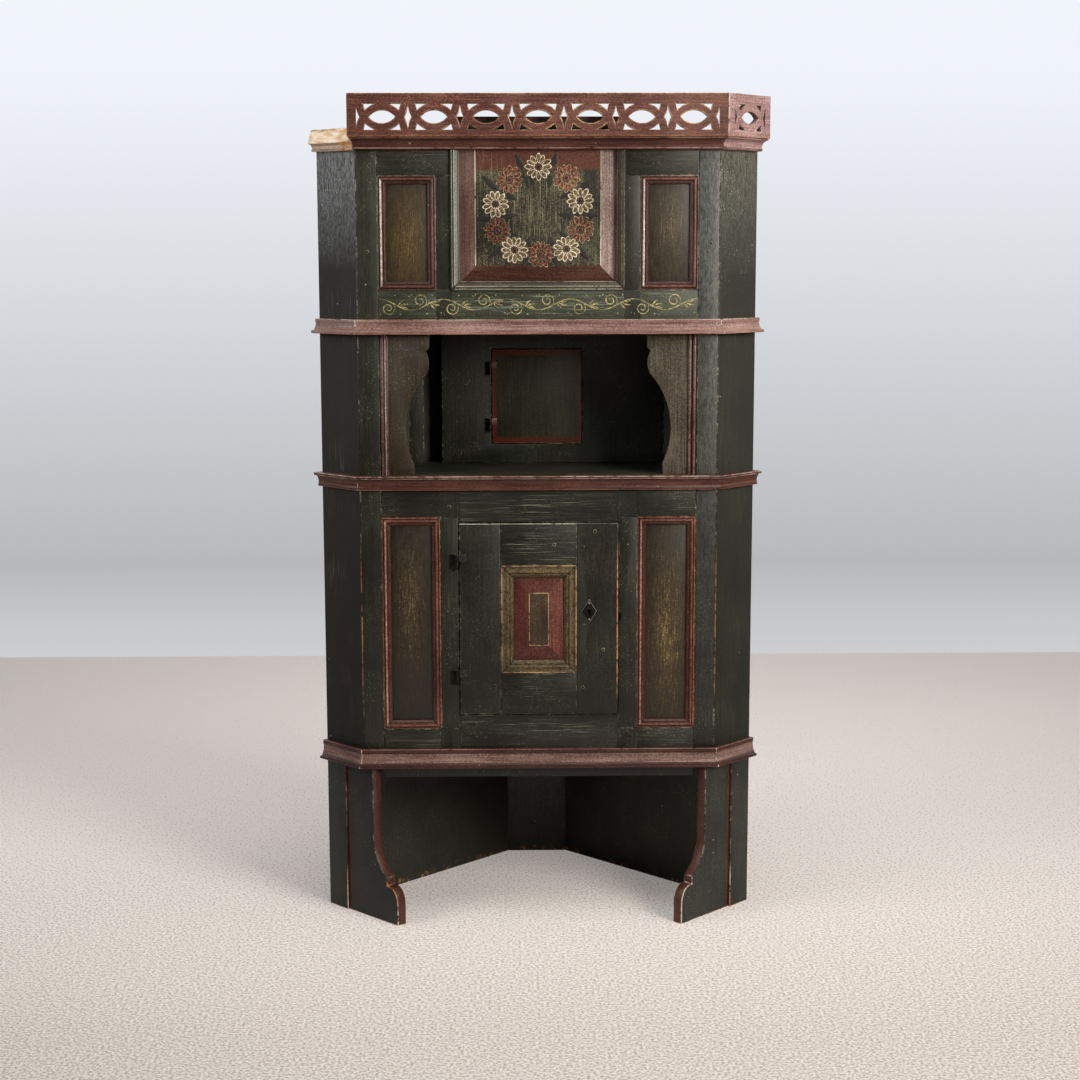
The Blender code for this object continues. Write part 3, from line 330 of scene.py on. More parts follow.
# the bevels of the hatch: the left one is painted darker and the right one pale pink: painted shade and a
# painted sheen from the light on the right
bevelLeft = oilPaint(
    "IronRedBevelLeft", redPaint, "#4c3832 #604740 #765e57", run="up", scrape=("#846a62", 0.5))
bevelRight = oilPaint(
    "IronRedBevelRight", redPaint, "#5c4641 #75605b #97847f", run="up", scrape=("#b3a29d", 0.6))
# the red round the field of the lower door: painted darker on the left and lighter on the right as painted
# shade and painted light
redDoorLeft = oilPaint("IronRedDoorLeft", redPaint, "#35130c #481d14 #5e3227", run="up")
redDoorRight = oilPaint("IronRedDoorRight", redPaint, "#43190f #5c2a20 #784539", run="up")
wornRed = oilPaint("IronRedWornArris", redPaint, chip=("#7c4a34", "#95664d", 0.72))
# pale chips of wear; on the top edges of the mouldings they also stand for a painted highlight from above
wornLine = oilPaint("IronRedWornLine", redPaint, chip=("#6d4a3f", "#8d6f63", 0.72))
wornPale = oilPaint("IronRedWornPale", redPaint, chip=("#8f7a6c", "#c0b0a2", 0.66))
wornGallery = oilPaint("IronRedWornFret", redPaint, chip=("#7d5238", "#a8875f", 0.66))
# lighter reds for the crests of the beads: painted highlights, brightest on the left members
crestRed = oilPaint("IronRedCrest", redPaint, "#4a251d #63372d #7d5044")
crestPink = oilPaint("IronRedCrestWorn", redPaint, "#6d4a3d #8f6a5b #b08d7e")
crestDim = oilPaint("IronRedCrestDim", redPaint, "#3c271f #57413a #76625a")
wornMitre = oilPaint("IronRedWornMitre", redPaint, chip=("#a08c80", "#dcd2c8", 0.5))
crestPale = oilPaint("IronRedCrestRubbed", redPaint, "#8d817b #bcb2ac #e4dcd8")
edgePale = oilPaint("IronRedEdgePale", redPaint, "#4f4038 #756556 #96877a")
galleryLine = oilPaint("IronRedGalleryFoot", redPaint, "#4f2f20 #714630 #8f664a")
edgeOrange = oilPaint("IronRedEdgeOrange", redPaint, "#5d3220 #8a5234 #ad7854")

olivePaint = {
    "deep": "#2b2312", "body": "#3f331d", "pale": "#594b30", "rough": (0.38, 0.56), "fleck": ("#8b7a55", 0.4),
}
doorOlive = oilPaint("OliveOchre", olivePaint, "#271f10 #473a22 #695a3c")
wornOlive = oilPaint("OliveWornBead", olivePaint, chip=("#7a643d", "#b09a70", 0.62))
outerBead = oilPaint("OliveWornOuterBead", olivePaint, chip=("#7d5a38", "#a8845e", 0.66))
doorCentre = oilPaint("OchreDoorField", olivePaint, "#271c0e #372a19 #4c3d27", run="up")
# the left bracket is painted darker and the right one lighter and greyer: painted shade and painted light on
# one ochre
bracketLeft = oilPaint(
    "OchreBracketLeft", olivePaint, "#1b1304 #261b06 #3a2e15", run="up", scrape=("#5f563f", 0.5))
bracketRight = oilPaint(
    "OchreBracketRight", olivePaint, "#332c20 #453e32 #5f584b", run="up", scrape=("#7f796c", 0.6))
wornOchre = oilPaint("OchreWornArris", olivePaint, chip=("#7a6647", "#aa9a80", 0.6))
nicheDoorPaint = oilPaint(
    "OliveNicheDoor", olivePaint, "#1c1c10 #282819 #373624", run="up",
    border=("#4f2014", (0.0, 0.0, 1.0390), (0.0840, 0.0850)))
hatchField = oilPaint(
    "OliveField", olivePaint, "#0e0e06 #27251a #5d5a42", run="up",
    scrape=("#a09e80", 0.95, ((0.0, 1.40), (0.09, 0.10))), cap=("#431c10", "#5c3524", 1.490))
wornField = oilPaint("OliveWornEdge", olivePaint, chip=("#8f8470", "#c9c0b2", 0.72))
# the level bevels of the hatch are painted darkest: painted shade
bevelLow = oilPaint("IronRedBevelLow", redPaint, "#2f140b #3e1f14 #523325", run="level")
# pale chips on the top edges of the door and on the lower run of the hatch strip: wear together with a painted
# highlight from above
wornTop = oilPaint("GreenWornTop", greenPaint, chip=("#7d8272", "#a9ada0", 0.74))
# the left side of the hatch strip is painted near white and its inner slope pale grey: painted highlights,
# while the right side stays dark green
stripPale = oilPaint(
    "GreenStripLeft", greenPaint, "#96958a #cbcac1 #f0efe9", run="up", bloom=("#d3d2c9", 1.2, 1.3, 0.2))
stripDim = oilPaint("GreenStripSlope", greenPaint, "#42423a #5c5c54 #7c7b72", run="up")
stripOlive = oilPaint("OliveStripLow", olivePaint, "#262112 #342e1e #4c4632", run="level")
print("paints mixed")


# ochre glaze wiped over a dark ground: it glows in the middle of the panel and goes dark to its edges
wiping = {"streakApart": 0.0019, "streakLong": 0.026, "dot": 0.0026, "relief": 0.0004}


def wipedGlaze(name, look):
    material, add, shader, spot = newFinish(name)
    far = farFrom(add, spot, look["middle"], look["half"])
    glow = add("MapRange", {0: far}, span=(0.1, 1.15, 0.72, 0.08))
    grain = grainAlong("up", wiping["streakApart"], wiping["streakLong"])
    along = add("VectorMath", {0: spot, 1: grain}, operation="MULTIPLY")
    streak = add("TexNoise", {"Vector": along, "Scale": 1.0, "Detail": 4.0, "Roughness": 0.7})
    dots = add("TexNoise", {"Vector": spot, "Scale": 1 / wiping["dot"], "Detail": 2.0, "Roughness": 0.6})
    both = add("Math", {0: dots, 1: 0.6, 2: streak}, operation="MULTIPLY_ADD")
    lift = add("MapRange", {0: both}, span=(0.56, 1.04, -0.5, 0.5))
    level = add("Math", {0: glow, 1: lift}, operation="ADD", use_clamp=True)
    tone = add("ValToRGB", {"Fac": level},
               stops=[(0.05, look["deep"]), (0.4, look["body"]), (0.78, look["glow"]), (1.0, look["pale"])])
    gloss = add("MapRange", {0: streak}, span=(0.3, 0.7, 0.36, 0.56))
    bump = add("Bump", {"Height": both, "Strength": 0.3, "Distance": wiping["relief"]})
    plug(shader, {"Base Color": tone, "Roughness": gloss, "Normal": bump})
    return material


glazes = {
    "upper_panel_left": {"middle": (-0.2500, 1.355), "half": (0.054, 0.115),
                         "deep": "#2a2113", "body": "#392d17", "glow": "#4d3f1d", "pale": "#6f603c"},
    "upper_panel_right": {"middle": (0.2600, 1.385), "half": (0.054, 0.115),
                          "deep": "#251e14", "body": "#332b1d", "glow": "#423828", "pale": "#655b48"},
    "lower_panel_left": {"middle": (-0.2560, 0.640), "half": (0.046, 0.215),
                         "deep": "#18120b", "body": "#261d10", "glow": "#3b2f17", "pale": "#6e6040"},
    "lower_panel_right": {"middle": (0.2570, 0.585), "half": (0.054, 0.235),
                          "deep": "#1e170d", "body": "#2d2312", "glow": "#4d3e20", "pale": "#8c7a4c"},
}


# old pine, never painted: long brown-grey grain with darker summer rings
pine = {"ringApart": 0.007, "stains": 6.0, "relief": 0.0006}


def barePine(name, look):
    material, add, shader, spot = newFinish(name)
    grain = grainAlong(look["run"], pine["ringApart"], look["along"])
    along = add("VectorMath", {0: spot, 1: grain}, operation="MULTIPLY")
    rings = add("TexNoise", {"Vector": along, "Scale": 1.0, "Detail": 5.0, "Roughness": 0.6})
    stain = add("TexNoise", {"Vector": spot, "Scale": pine["stains"], "Detail": 3.0})
    both = add("Math", {0: rings, 1: stain}, operation="ADD")
    level = add("Math", {0: both, 1: 0.5}, operation="MULTIPLY")
    tone = add("ValToRGB", {"Fac": level},
               stops=[(0.38, look["deep"]), (0.5, look["body"]), (0.62, look["pale"])])
    bump = add("Bump", {"Height": rings, "Strength": 0.4, "Distance": pine["relief"]})
    plug(shader, {"Base Color": tone, "Roughness": 0.78, "Normal": bump})
    return material


oldTones = {"deep": "#4f3e2c", "body": "#6e5940", "pale": "#8a7455", "along": 0.5}
oldPine = barePine("oldBarePine", dict(oldTones, run="up"))
oldPineFlat = barePine("oldBarePineShelves", dict(oldTones, run="flat"))
newTones = {"deep": "#e0ae76", "body": "#fff0dc", "pale": "#fffaf2", "along": 0.03}
splitPine = barePine("splitPine", dict(newTones, run="level"))


# hand-forged iron, blackened by age: dull and pitted, rusty brown in places, bright where it is rubbed
forging = {"pit": 0.004, "rust": 0.012, "relief": 0.0003}


def forgedIron(name, dark, mid, rusty):
    material, add, shader, spot = newFinish(name)
    pits = add("TexNoise", {"Vector": spot, "Scale": 1 / forging["pit"], "Detail": 4.0})
    rust = add("TexNoise", {"Vector": spot, "Scale": 1 / forging["rust"], "Detail": 2.0})
    tone = add("ValToRGB", {"Fac": rust}, stops=[(0.4, dark), (0.55, mid), (0.7, rusty)])
    gloss = add("MapRange", {0: pits}, span=(0.3, 0.7, 0.36, 0.6))
    bump = add("Bump", {"Height": pits, "Strength": 0.3, "Distance": forging["relief"]})
    plug(shader, {"Base Color": tone, "Metallic": 0.85, "Roughness": gloss, "Normal": bump})
    return material


iron = forgedIron("forgedIronBlackened", "#262422", "#1b1918", "#2a1f19")
# bright iron for nail heads, the rim of the plate and the tops of the hinges: rubbed bright, and on the hinge
# tops a painted highlight
rubbedIron = forgedIron("forgedIronRubbed", "#a09c95", "#8a857d", "#77695c")
print("bare wood and iron mixed")


def pick(piece):
    bpy.ops.object.select_all(action="DESELECT")
    piece.select_set(True)
    bpy.context.view_layer.objects.active = piece


def camel(node):
    first, *rest = node.split("_")
    return first + "".join(word.capitalize() for word in rest)


# leaves the piece in edit mode with the wanted vertices or faces selected
def selectParts(piece, kind, wanted):
    pick(piece)
    bpy.ops.object.mode_set(mode="EDIT")
    bpy.ops.mesh.select_mode(type=kind)
    bpy.ops.mesh.select_all(action="DESELECT")
    bpy.ops.object.mode_set(mode="OBJECT")
    for part in piece.data.vertices if kind == "VERT" else piece.data.polygons:
        part.select = wanted(part)
    bpy.ops.object.mode_set(mode="EDIT")


def cutAt(piece, places, normal):
    pick(piece)
    bpy.ops.object.mode_set(mode="EDIT")
    for place in places:
        bpy.ops.mesh.select_all(action="SELECT")
        bpy.ops.mesh.bisect(plane_co=place, plane_no=normal)
    bpy.ops.object.mode_set(mode="OBJECT")


def finishOf(piece, face):
    return piece.data.materials[face.material_index]


def paintFace(piece, face, finish):
    if finish.name not in piece.data.materials:
        piece.data.materials.append(finish)
    face.material_index = piece.data.materials.find(finish.name)


# a face keeps its finish where the rule gives none
def repaint(piece, rule):
    for face in piece.data.polygons:
        finish = rule(face)
        if finish is not None:
            paintFace(piece, face, finish)


chalk = bpy.data.materials.new("chalkMark")  # marks the eased arrises until each gets its own finish
smoothBelow = math.radians(38)
dressed = {}


# a merged copy of a solid, its arrises eased as by a plane where a width is given, stands for the CAD node;
# a finish is a paint, or a rule that gives one for the middle of a face and its normal
def dress(node, finish, arris=None, wear=None, sharpest=28):
    piece = bpy.data.objects.new(camel(node), nodes[node].data.copy())
    bpy.context.collection.objects.link(piece)
    piece.data.materials.clear()
    for mark in (None, chalk):
        piece.data.materials.append(mark)
    pick(piece)
    bpy.ops.mesh.customdata_custom_splitnormals_clear()
    bpy.ops.object.mode_set(mode="EDIT")
    bpy.ops.mesh.select_mode(type="EDGE")
    bpy.ops.mesh.select_all(action="SELECT")
    bpy.ops.mesh.mark_sharp(clear=True)
    bpy.ops.mesh.remove_doubles(threshold=0.00003)
    if arris:
        bpy.ops.mesh.dissolve_limited(angle_limit=math.radians(0.5))
        bpy.ops.mesh.select_all(action="DESELECT")
        bpy.ops.mesh.edges_select_sharp(sharpness=math.radians(sharpest))
        bpy.ops.mesh.bevel(offset=arris, segments=2, clamp_overlap=True, material=1)
    bpy.ops.object.mode_set(mode="OBJECT")
    eased = [face.material_index == 1 for face in piece.data.polygons]
    piece.data.materials.clear()
    for face, onArris in zip(piece.data.polygons, eased):
        rule = wear if onArris and wear is not None else finish
        paintFace(piece, face, rule(face.center, face.normal) if callable(rule) else rule)
    bpy.ops.object.shade_smooth_by_angle(angle=smoothBelow)
    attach(piece, bodyOf[node])
    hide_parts(node)
    dressed[node] = piece
    return piece


# an open joint between two boards: a shallow groove across one face of a piece
joint = {"half": 0.0006, "depth": 0.0008, "skin": 0.002}


def openJoint(piece, across, outward, places, wanted=None, half=joint["half"], depth=joint["depth"]):
    across, outward = Vector(across).normalized(), Vector(outward).normalized()
    skin = max(vert.co.dot(outward) for vert in piece.data.vertices) - joint["skin"]
    cutAt(piece, [across * (place + shift) for place in places for shift in (-half, 0, half)], across)

    def inGroove(vert):
        onFace = vert.co.dot(outward) > skin and (wanted is None or wanted(vert.co))
        return onFace and any(abs(vert.co.dot(across) - place) < 1e-5 for place in places)

    selectParts(piece, "VERT", inGroove)
    bpy.ops.transform.translate(value=outward * -depth)
    bpy.ops.object.mode_set(mode="OBJECT")
    bpy.ops.object.shade_smooth_by_angle(angle=smoothBelow)


# the mitres of a frame strip: a dark line from each outer corner to the inner one
def mitreLines(piece, corners, reach, half):
    for x, z, slope in corners:
        place, normal = Vector((x, 0, z)), Vector((1, 0, slope)).normalized()

        def lineFinish(face):
            away = face.center - place
            onLine = abs(away.dot(normal)) < half and max(abs(away.x), abs(away.z)) < reach
            return darkMitre if onLine and face.normal.y < -0.1 else None

        cutAt(piece, [place - normal * half, place + normal * half], normal)
        repaint(piece, lineFinish)


def frameCorners(low, high):
    return [(low.x, low.z, -1), (high.x, high.z, -1), (low.x, high.z, 1), (high.x, low.z, 1)]


# the stiles run through from moulding to moulding, so each long rail shows three boards and two stile ends
frontFrame = {
    "arris": 0.0013, "lowerStile": (0.1560, 0.1967), "bandStile": (0.1675, 0.1971),
    "apronTop": 0.3125, "cut": 0.02, "hidden": 0.019,  # no joint is opened behind the moulding over the apron
    "plain": {"corner_stile_left": stileGreen, "upper_stile_left": stileGreen,
              "upper_stile_right": stileGreen, "lower_stile_left": stileGreen,
              "lower_stile_right": stileGreen, "corner_stile_right": rightStileGreen, "upper_rail": railGreen},
}


def dressRail(node, finish, stile):
    inner, outer = stile
    apron = frontFrame["apronTop"]

    def railFinish(face):
        away = abs(face.center.x)
        # the rail below the top of the apron is painted in shade
        if face.center.z < apron:
            return apronGreen
        if inner < away < outer and finishOf(piece, face) == finish:
            return stileGreen
        inJoint = min(abs(away - inner), abs(away - outer)) < joint["half"]
        return wornGreen if inJoint and abs(face.normal.x) > 0.2 and face.normal.y < -0.1 else None

    piece = dress(node, finish, frontFrame["arris"], wornGreen)
    cutAt(piece, [(0, 0, apron), (0, 0, apron + frontFrame["cut"])], (0, 0, 1))
    openJoint(piece, (1, 0, 0), (0, -1, 0), [-outer, -inner, inner, outer],
              lambda co: co.z > apron + frontFrame["hidden"])
    repaint(piece, railFinish)


for node, finish in frontFrame["plain"].items():
    dress(node, finish, frontFrame["arris"], wornGreen)
dressRail("lower_rail_top", railGreen, frontFrame["lowerStile"])
dressRail("lower_rail_bottom", railGreen, frontFrame["lowerStile"])
dressRail("band_rail", bandTeal, frontFrame["bandStile"])
print("front frame dressed")

# canted sides and feet: the edge of the foot board beside the strip is painted red
cants = {
    "arris": 0.0016, "stripTop": 0.31, "corner": 0.351, "front": -0.1908, "redFrom": 0.0514,
    "sides": {"left": (-1, leftCantGreen, footGreen), "right": (1, rightCantGreen, footGreenRight)},
}


def alongCant(co):
    return (abs(co.x) - cants["corner"] + co.y - cants["front"]) / math.sqrt(2)


for side, (hand, cantPaint, footPaint) in cants["sides"].items():
    def sideFinish(center, normal):
        lowEdge = center.z < cants["stripTop"] and normal.x * center.x < 0
        return redUpright if lowEdge and normal.y < -0.6 and abs(normal.z) < 0.3 else cantPaint

    piece = dress("side_board_" + side, sideFinish, cants["arris"], wornWarm)
    below = {cantPaint: footPaint, wornWarm: wornFoot}
    stripTop = cants["stripTop"]
    cutAt(piece, [(0, 0, stripTop)], (0, 0, 1))
    repaint(piece, lambda face: below.get(finishOf(piece, face)) if face.center.z < stripTop else None)
for side, (hand, cantPaint, footPaint) in cants["sides"].items():
    def footFinish(center, normal):
        flat = abs(normal.x) > 0.65 and abs(normal.y) > 0.65 and normal.x * normal.y * center.x < 0
        return footPaint if flat and alongCant(center) < cants["redFrom"] else redUpright

    piece = dress("foot_" + side, footFinish, cants["arris"],
                  lambda center, normal: redUpright if alongCant(center) > cants["redFrom"] else wornFoot)
    reach = cants["redFrom"] / math.sqrt(2)
    cutAt(piece, [(hand * (cants["corner"] + reach), cants["front"] + reach, 0)], (hand, 1, 0))
    repaint(piece, lambda face: None if finishOf(piece, face) == wornFoot
            else footFinish(face.center, face.normal))
print("sides and feet dressed")

# back walls, shelves and top: painted where they show, bare planks elsewhere
carcass = {
    "arris": 0.0015, "paintedHeights": [(0.0, 0.3125), (0.9, 1.1765)],
    "walls": {"back_wall_left": (-1, 1, 0), "back_wall_right": (1, 1, 0), "back_corner_board": None},
    "wallJoints": [-0.215, -0.040], "topJoints": [-0.060, 0.090], "topHalf": 0.0012, "topDepth": 0.0016,
}


def wallFinish(face):
    painted = any(low < face.center.z < high for low, high in carcass["paintedHeights"])
    footEnd = abs(face.normal.z) > 0.9 and face.center.z < 0.01
    return nicheGreen if face.normal.y < -0.5 and painted or footEnd else oldPine


for node in ("niche_ceiling", "cupboard_floor", "top_board"):
    dress(node, oldPineFlat, carcass["arris"])
openJoint(dressed["top_board"], (0, 1, 0), (0, 0, 1), carcass["topJoints"],
          half=carcass["topHalf"], depth=carcass["topDepth"])
for node, outward in carcass["walls"].items():
    piece = dress(node, oldPine, carcass["arris"])
    heights = [height for pair in carcass["paintedHeights"] for height in pair if height]
    cutAt(piece, [(0, 0, height) for height in heights], (0, 0, 1))
    if outward:
        openJoint(piece, (-outward[0], outward[1], 0), outward, carcass["wallJoints"])
    repaint(piece, wallFinish)
dress("niche_floor", nicheFloorGreen, carcass["arris"], wornGreen)
for node in ("niche_back_strip", "niche_back_panel"):
    dress(node, nicheGreen, carcass["arris"], wornGreen)
print("carcass dressed")

# panels and the beaded strips round them
panels = {
    "arris": 0.0003, "crest": 0.0009, "edge": 0.0016, "leftMember": 0.012, "mitre": 0.0004, "reach": 0.016,
    "paints": {  # of the strip, its crest, the crest of its left member and its outermost edge; the crests are painted lighter as painted highlights
        "upper": (redHighBead, crestRed, crestPale, edgePale),
        "lower": (redLowBead, crestRed, crestPink, edgeOrange),
    },
}


def toEdge(center, low, high):
    return min(center.x - low.x, high.x - center.x, center.z - low.z, high.z - center.z)


for node, look in glazes.items():
    dress(node, wipedGlaze("wipedOchreGlaze" + camel(node).capitalize(), look), panels["arris"])
    strip = node.replace("panel", "panel_moulding")
    low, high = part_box(strip)
    plain, crest, leftCrest, edge = panels["paints"][node.split("_")[0]]

    def beadFinish(center, normal):
        if toEdge(center, low, high) < panels["edge"] and normal.y < -0.5:
            return edge
        if center.y > low.y + panels["crest"] or normal.y > -0.7:
            return plain
        return leftCrest if center.x < low.x + panels["leftMember"] else crest

    piece = dress(strip, beadFinish, panels["arris"])
    mitreLines(piece, frameCorners(low, high), panels["reach"], panels["mitre"])
print("panels dressed")

# mouldings round the body
mouldings = {
    "arris": 0.0012, "sharpest": 40, "edge": 0.005, "corner": 0.354, "mitre": (0.349, 0.372),
    "redMembers": {"base_moulding": (0.26, 0.75)},  # shares of its height: a deeper red below and above these
    "paints": {  # of the front, the right run, the worn top edge, also painted pale as a highlight from above, and the worn lip
        "cornice": (redLevel, redDusty, wornLine, wornLine),
        "upper_waist_moulding": (redWaist, redWaist, wornPale, wornRed),
        "lower_waist_moulding": (redLevel, redLevel, wornPale, wornRed),
        "base_moulding": (redBase, redBase, wornLine, redBead),
    },
}
for node, (front, rightRun, topEdge, lipEdge) in mouldings["paints"].items():
    low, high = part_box(node)

    def runFinish(center, normal):
        return rightRun if center.x > mouldings["corner"] else front

    def edgeFinish(center, normal):
        if mouldings["mitre"][0] < abs(center.x) < mouldings["mitre"][1]:
            return wornMitre
        if center.z > high.z - mouldings["edge"]:
            return topEdge
        return lipEdge if center.z < low.z + mouldings["edge"] else runFinish(center, normal)

    def memberFinish(face):
        outside = not lip < face.center.z < crown
        return redBead if outside and finishOf(piece, face) in (front, rightRun) else None

    piece = dress(node, runFinish, mouldings["arris"], edgeFinish, mouldings["sharpest"])
    if node in mouldings["redMembers"]:
        lip, crown = (low.z + share * (high.z - low.z) for share in mouldings["redMembers"][node])
        cutAt(piece, [(0, 0, lip), (0, 0, crown)], (0, 0, 1))
        repaint(piece, memberFinish)

# the stub of the cornice: raw on top, its cove torn away in a slant beside the gallery, splintered there
stump = {"arris": 0.0006, "rawAbove": 1.543, "torn": Vector((-0.3687, -0.1731, 1.528)),
         "tear": Vector((-0.707, 0.707, -1.33)), "cuts": 3, "rough": 0.0010, "seed": 5}
piece = dress("cornice_left", redStub, stump["arris"])
cutAt(piece, [stump["torn"]], stump["tear"])
selectParts(piece, "FACE", lambda face: face.center.z > stump["rawAbove"]
            or (face.center - stump["torn"]).dot(stump["tear"]) < 0)
bpy.ops.object.mode_set(mode="OBJECT")
repaint(piece, lambda face: splitPine if face.select else None)
bpy.ops.object.mode_set(mode="EDIT")
bpy.ops.mesh.quads_convert_to_tris()
bpy.ops.mesh.subdivide(number_cuts=stump["cuts"])
bpy.ops.transform.vertex_random(offset=stump["rough"], uniform=1.0, seed=stump["seed"])
bpy.ops.mesh.select_all(action="SELECT")
bpy.ops.mesh.quads_convert_to_tris()
bpy.ops.object.mode_set(mode="OBJECT")
print("mouldings dressed")

# fretwork gallery: the front of each board is inset to a chamfered rim round every hole, worn to the primer
gallery = {
    "rim": 0.0020, "chamfer": 0.0006, "line": 0.0032, "mitre": 0.010, "smoothBelow": math.radians(20),
    "boards": {"gallery_front": ((0, -1, 0), redGallery, wornGallery, galleryLine),
               # the return faces right and is painted pale pink: a painted sheen
               "gallery_return": ((1, -1, 0), redDusty, wornPale, crestPink)},
}
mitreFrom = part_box("gallery_front")[1].x - gallery["mitre"]
for node, (outward, plain, rim, line) in gallery["boards"].items():
    outward = Vector(outward).normalized()
    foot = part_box(node)[0].z + gallery["line"]

    def fretFinish(face):
        facing = face.normal.dot(outward)
        if facing > 0.5 and face.center.z < foot:
            return line
        if 0.5 < facing < 0.99:
            return wornPale if face.center.x > mitreFrom else rim

    piece = dress(node, plain)
    selectParts(piece, "FACE", lambda face: face.normal.dot(outward) > 0.9)
    bpy.ops.transform.translate(value=outward * -gallery["chamfer"])
    bpy.ops.mesh.inset(thickness=gallery["rim"], use_even_offset=False)
    bpy.ops.transform.translate(value=outward * gallery["chamfer"])
    bpy.ops.mesh.delete(type="FACE")  # the face is filled anew, as its long thin triangles turned over
    bpy.ops.mesh.select_mode(type="EDGE")
    bpy.ops.mesh.select_non_manifold()
    bpy.ops.mesh.fill(use_beauty=True)
    bpy.ops.mesh.select_all(action="SELECT")
    bpy.ops.mesh.normals_make_consistent(inside=False)
    bpy.ops.object.mode_set(mode="OBJECT")
    cutAt(piece, [(0, 0, foot)], (0, 0, 1))
    repaint(piece, fretFinish)
    bpy.ops.object.shade_smooth_by_angle(angle=gallery["smoothBelow"])
print("gallery dressed")

# hatch: red bevels round an olive field, worn lines down both sides of the field; the bevels are painted
# darker on the left and below and paler on the right as painted shade and sheen, and the left side of the
# strip is painted pale as a highlight
hatch = {
    "arris": 0.0010, "sharpest": 10, "greenAbove": 1.552, "side": 0.10, "low": 1.312, "level": 0.0005,
    "rub": 0.0012, "stripArris": 0.0006, "stripCrest": 0.001, "stripFoot": 0.0022,
    "mitre": 0.0014, "reach": 0.020,
}
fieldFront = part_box("hatch_panel")[0].y
stripLow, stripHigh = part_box("hatch_moulding")
stripFoot = stripLow.z + hatch["stripFoot"]  # the lower edge of the strip is rubbed pale


def hatchFinish(center, normal):
    if normal.y > -0.3:
        return oldPine
    if center.z > hatch["greenAbove"]:
        return nicheGreen
    if normal.y < -0.995:
        return hatchField if abs(center.y - fieldFront) < hatch["level"] else redUpright
    if abs(center.x) < hatch["side"]:
        return bevelLow
    return bevelLeft if center.x < 0 else bevelRight


def hatchWear(center, normal):
    nearField = center.y < fieldFront + hatch["rub"] and normal.y < -0.3
    beside = abs(center.x) > hatch["side"] and center.z > hatch["low"]
    return wornField if nearField and beside else hatchFinish(center, normal)


def stripFinish(center, normal):
    if abs(center.x) < hatch["side"]:
        return stripOlive
    if center.x > 0:
        return stileGreen
    if normal.x > 0.2:
        return stripDim
    return stripPale if center.y < stripLow.y + hatch["stripCrest"] and normal.y < -0.9 else stileGreen


def stripWear(center, normal):
    if abs(center.x) < hatch["side"]:
        return wornTop if normal.y < -0.3 else stripOlive
    if center.x < hatch["side"]:
        return stripFinish(center, normal)
    return edgeOrange if normal.x < -0.2 else wornGreen


dress("hatch_panel", hatchFinish, hatch["arris"], hatchWear, hatch["sharpest"])
piece = dress("hatch_moulding", stripFinish, hatch["stripArris"], stripWear)
cutAt(piece, [(0, 0, stripFoot)], (0, 0, 1))
repaint(piece, lambda face: wornTop if face.center.z < stripFoot and face.normal.y < -0.5 else None)
lowCorners = [(stripLow.x, stripLow.z, -1), (stripHigh.x, stripLow.z, 1)]
mitreLines(piece, lowCorners, hatch["reach"], hatch["mitre"])
print("hatch dressed")


def bareBehind(front, back=oldPine):
    return lambda center, normal: back if normal.y > 0.7 else front


# niche brackets and the small inner door
niche = {
    "arris": 0.0011, "bead": 0.0187, "crest": 0.0005, "lit": -0.4,
    "brackets": {"niche_bracket_left": (bracketLeft, wornOchre),
                 "niche_bracket_right": (bracketRight, wornRed)},
}
for node, (bracket, rubbed) in niche["brackets"].items():
    low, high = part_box(node)
    beadEdge = max(abs(low.x), abs(high.x)) - niche["bead"]

    def bracketFinish(center, normal):
        if abs(center.x) < beadEdge:
            return bracket
        # the flank of the left bead that faces left is painted near white and the fronts of the reeds lighter:
        # painted highlights
        if normal.x < niche["lit"] and low.x < 0 and center.x > low.x + niche["bead"] / 2:
            return crestPale
        return crestDim if center.y < low.y + niche["crest"] and normal.y < -0.9 else redBead

    dress(node, bracketFinish, niche["arris"],
          lambda center, normal: bracketFinish(center, normal) if abs(center.x) > beadEdge else rubbed)
dress("niche_door", bareBehind(nicheDoorPaint), niche["arris"], wornRed)
print("niche dressed")

# lower door: its outer edges are worn to the primer on the lock side
door = {
    "arris": 0.0016, "top": 0.803, "outer": 0.150, "edge": 0.0022, "crest": 0.0009, "bead": 0.0036,
    "panelArris": 0.0008, "sharpest": 10, "level": 0.0005, "rub": 0.0020, "mitre": 0.0011, "reach": 0.030,
    "frame": {"door_stile_left": (stileGreen, oldPine), "door_stile_right": (stileGreen, oldPine),
              "door_rail_top": (railGreen, oldPineFlat), "door_rail_bottom": (railGreen, oldPineFlat)},
}
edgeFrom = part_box("door_stile_right")[1].x - door["edge"]
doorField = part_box("door_panel")[0].y
beadLow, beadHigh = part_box("door_moulding")


# the top edges are chipped pale, also as a painted highlight
def doorWear(center, normal):
    if center.z > door["top"]:
        return wornTop
    return wornWarm if center.x > door["outer"] else wornGreen


def lockEdgeFinish(face):
    plain = finishOf(dressed["door_stile_right"], face) == stileGreen
    return wornWarm if face.center.x > edgeFrom and plain and face.normal.y < -0.9 else None


def doorFinish(center, normal):
    if normal.y > 0.3:
        return oldPine
    if center.y < doorField + door["level"] and normal.y < -0.995:
        return doorCentre
    return redDoorLeft if center.x < 0 else redDoorRight


def doorStripFinish(center, normal):
    if toEdge(center, beadLow, beadHigh) < door["bead"] and normal.y < -0.85:
        return outerBead
    return wornOlive if center.y < beadLow.y + door["crest"] and normal.y < -0.7 else doorOlive


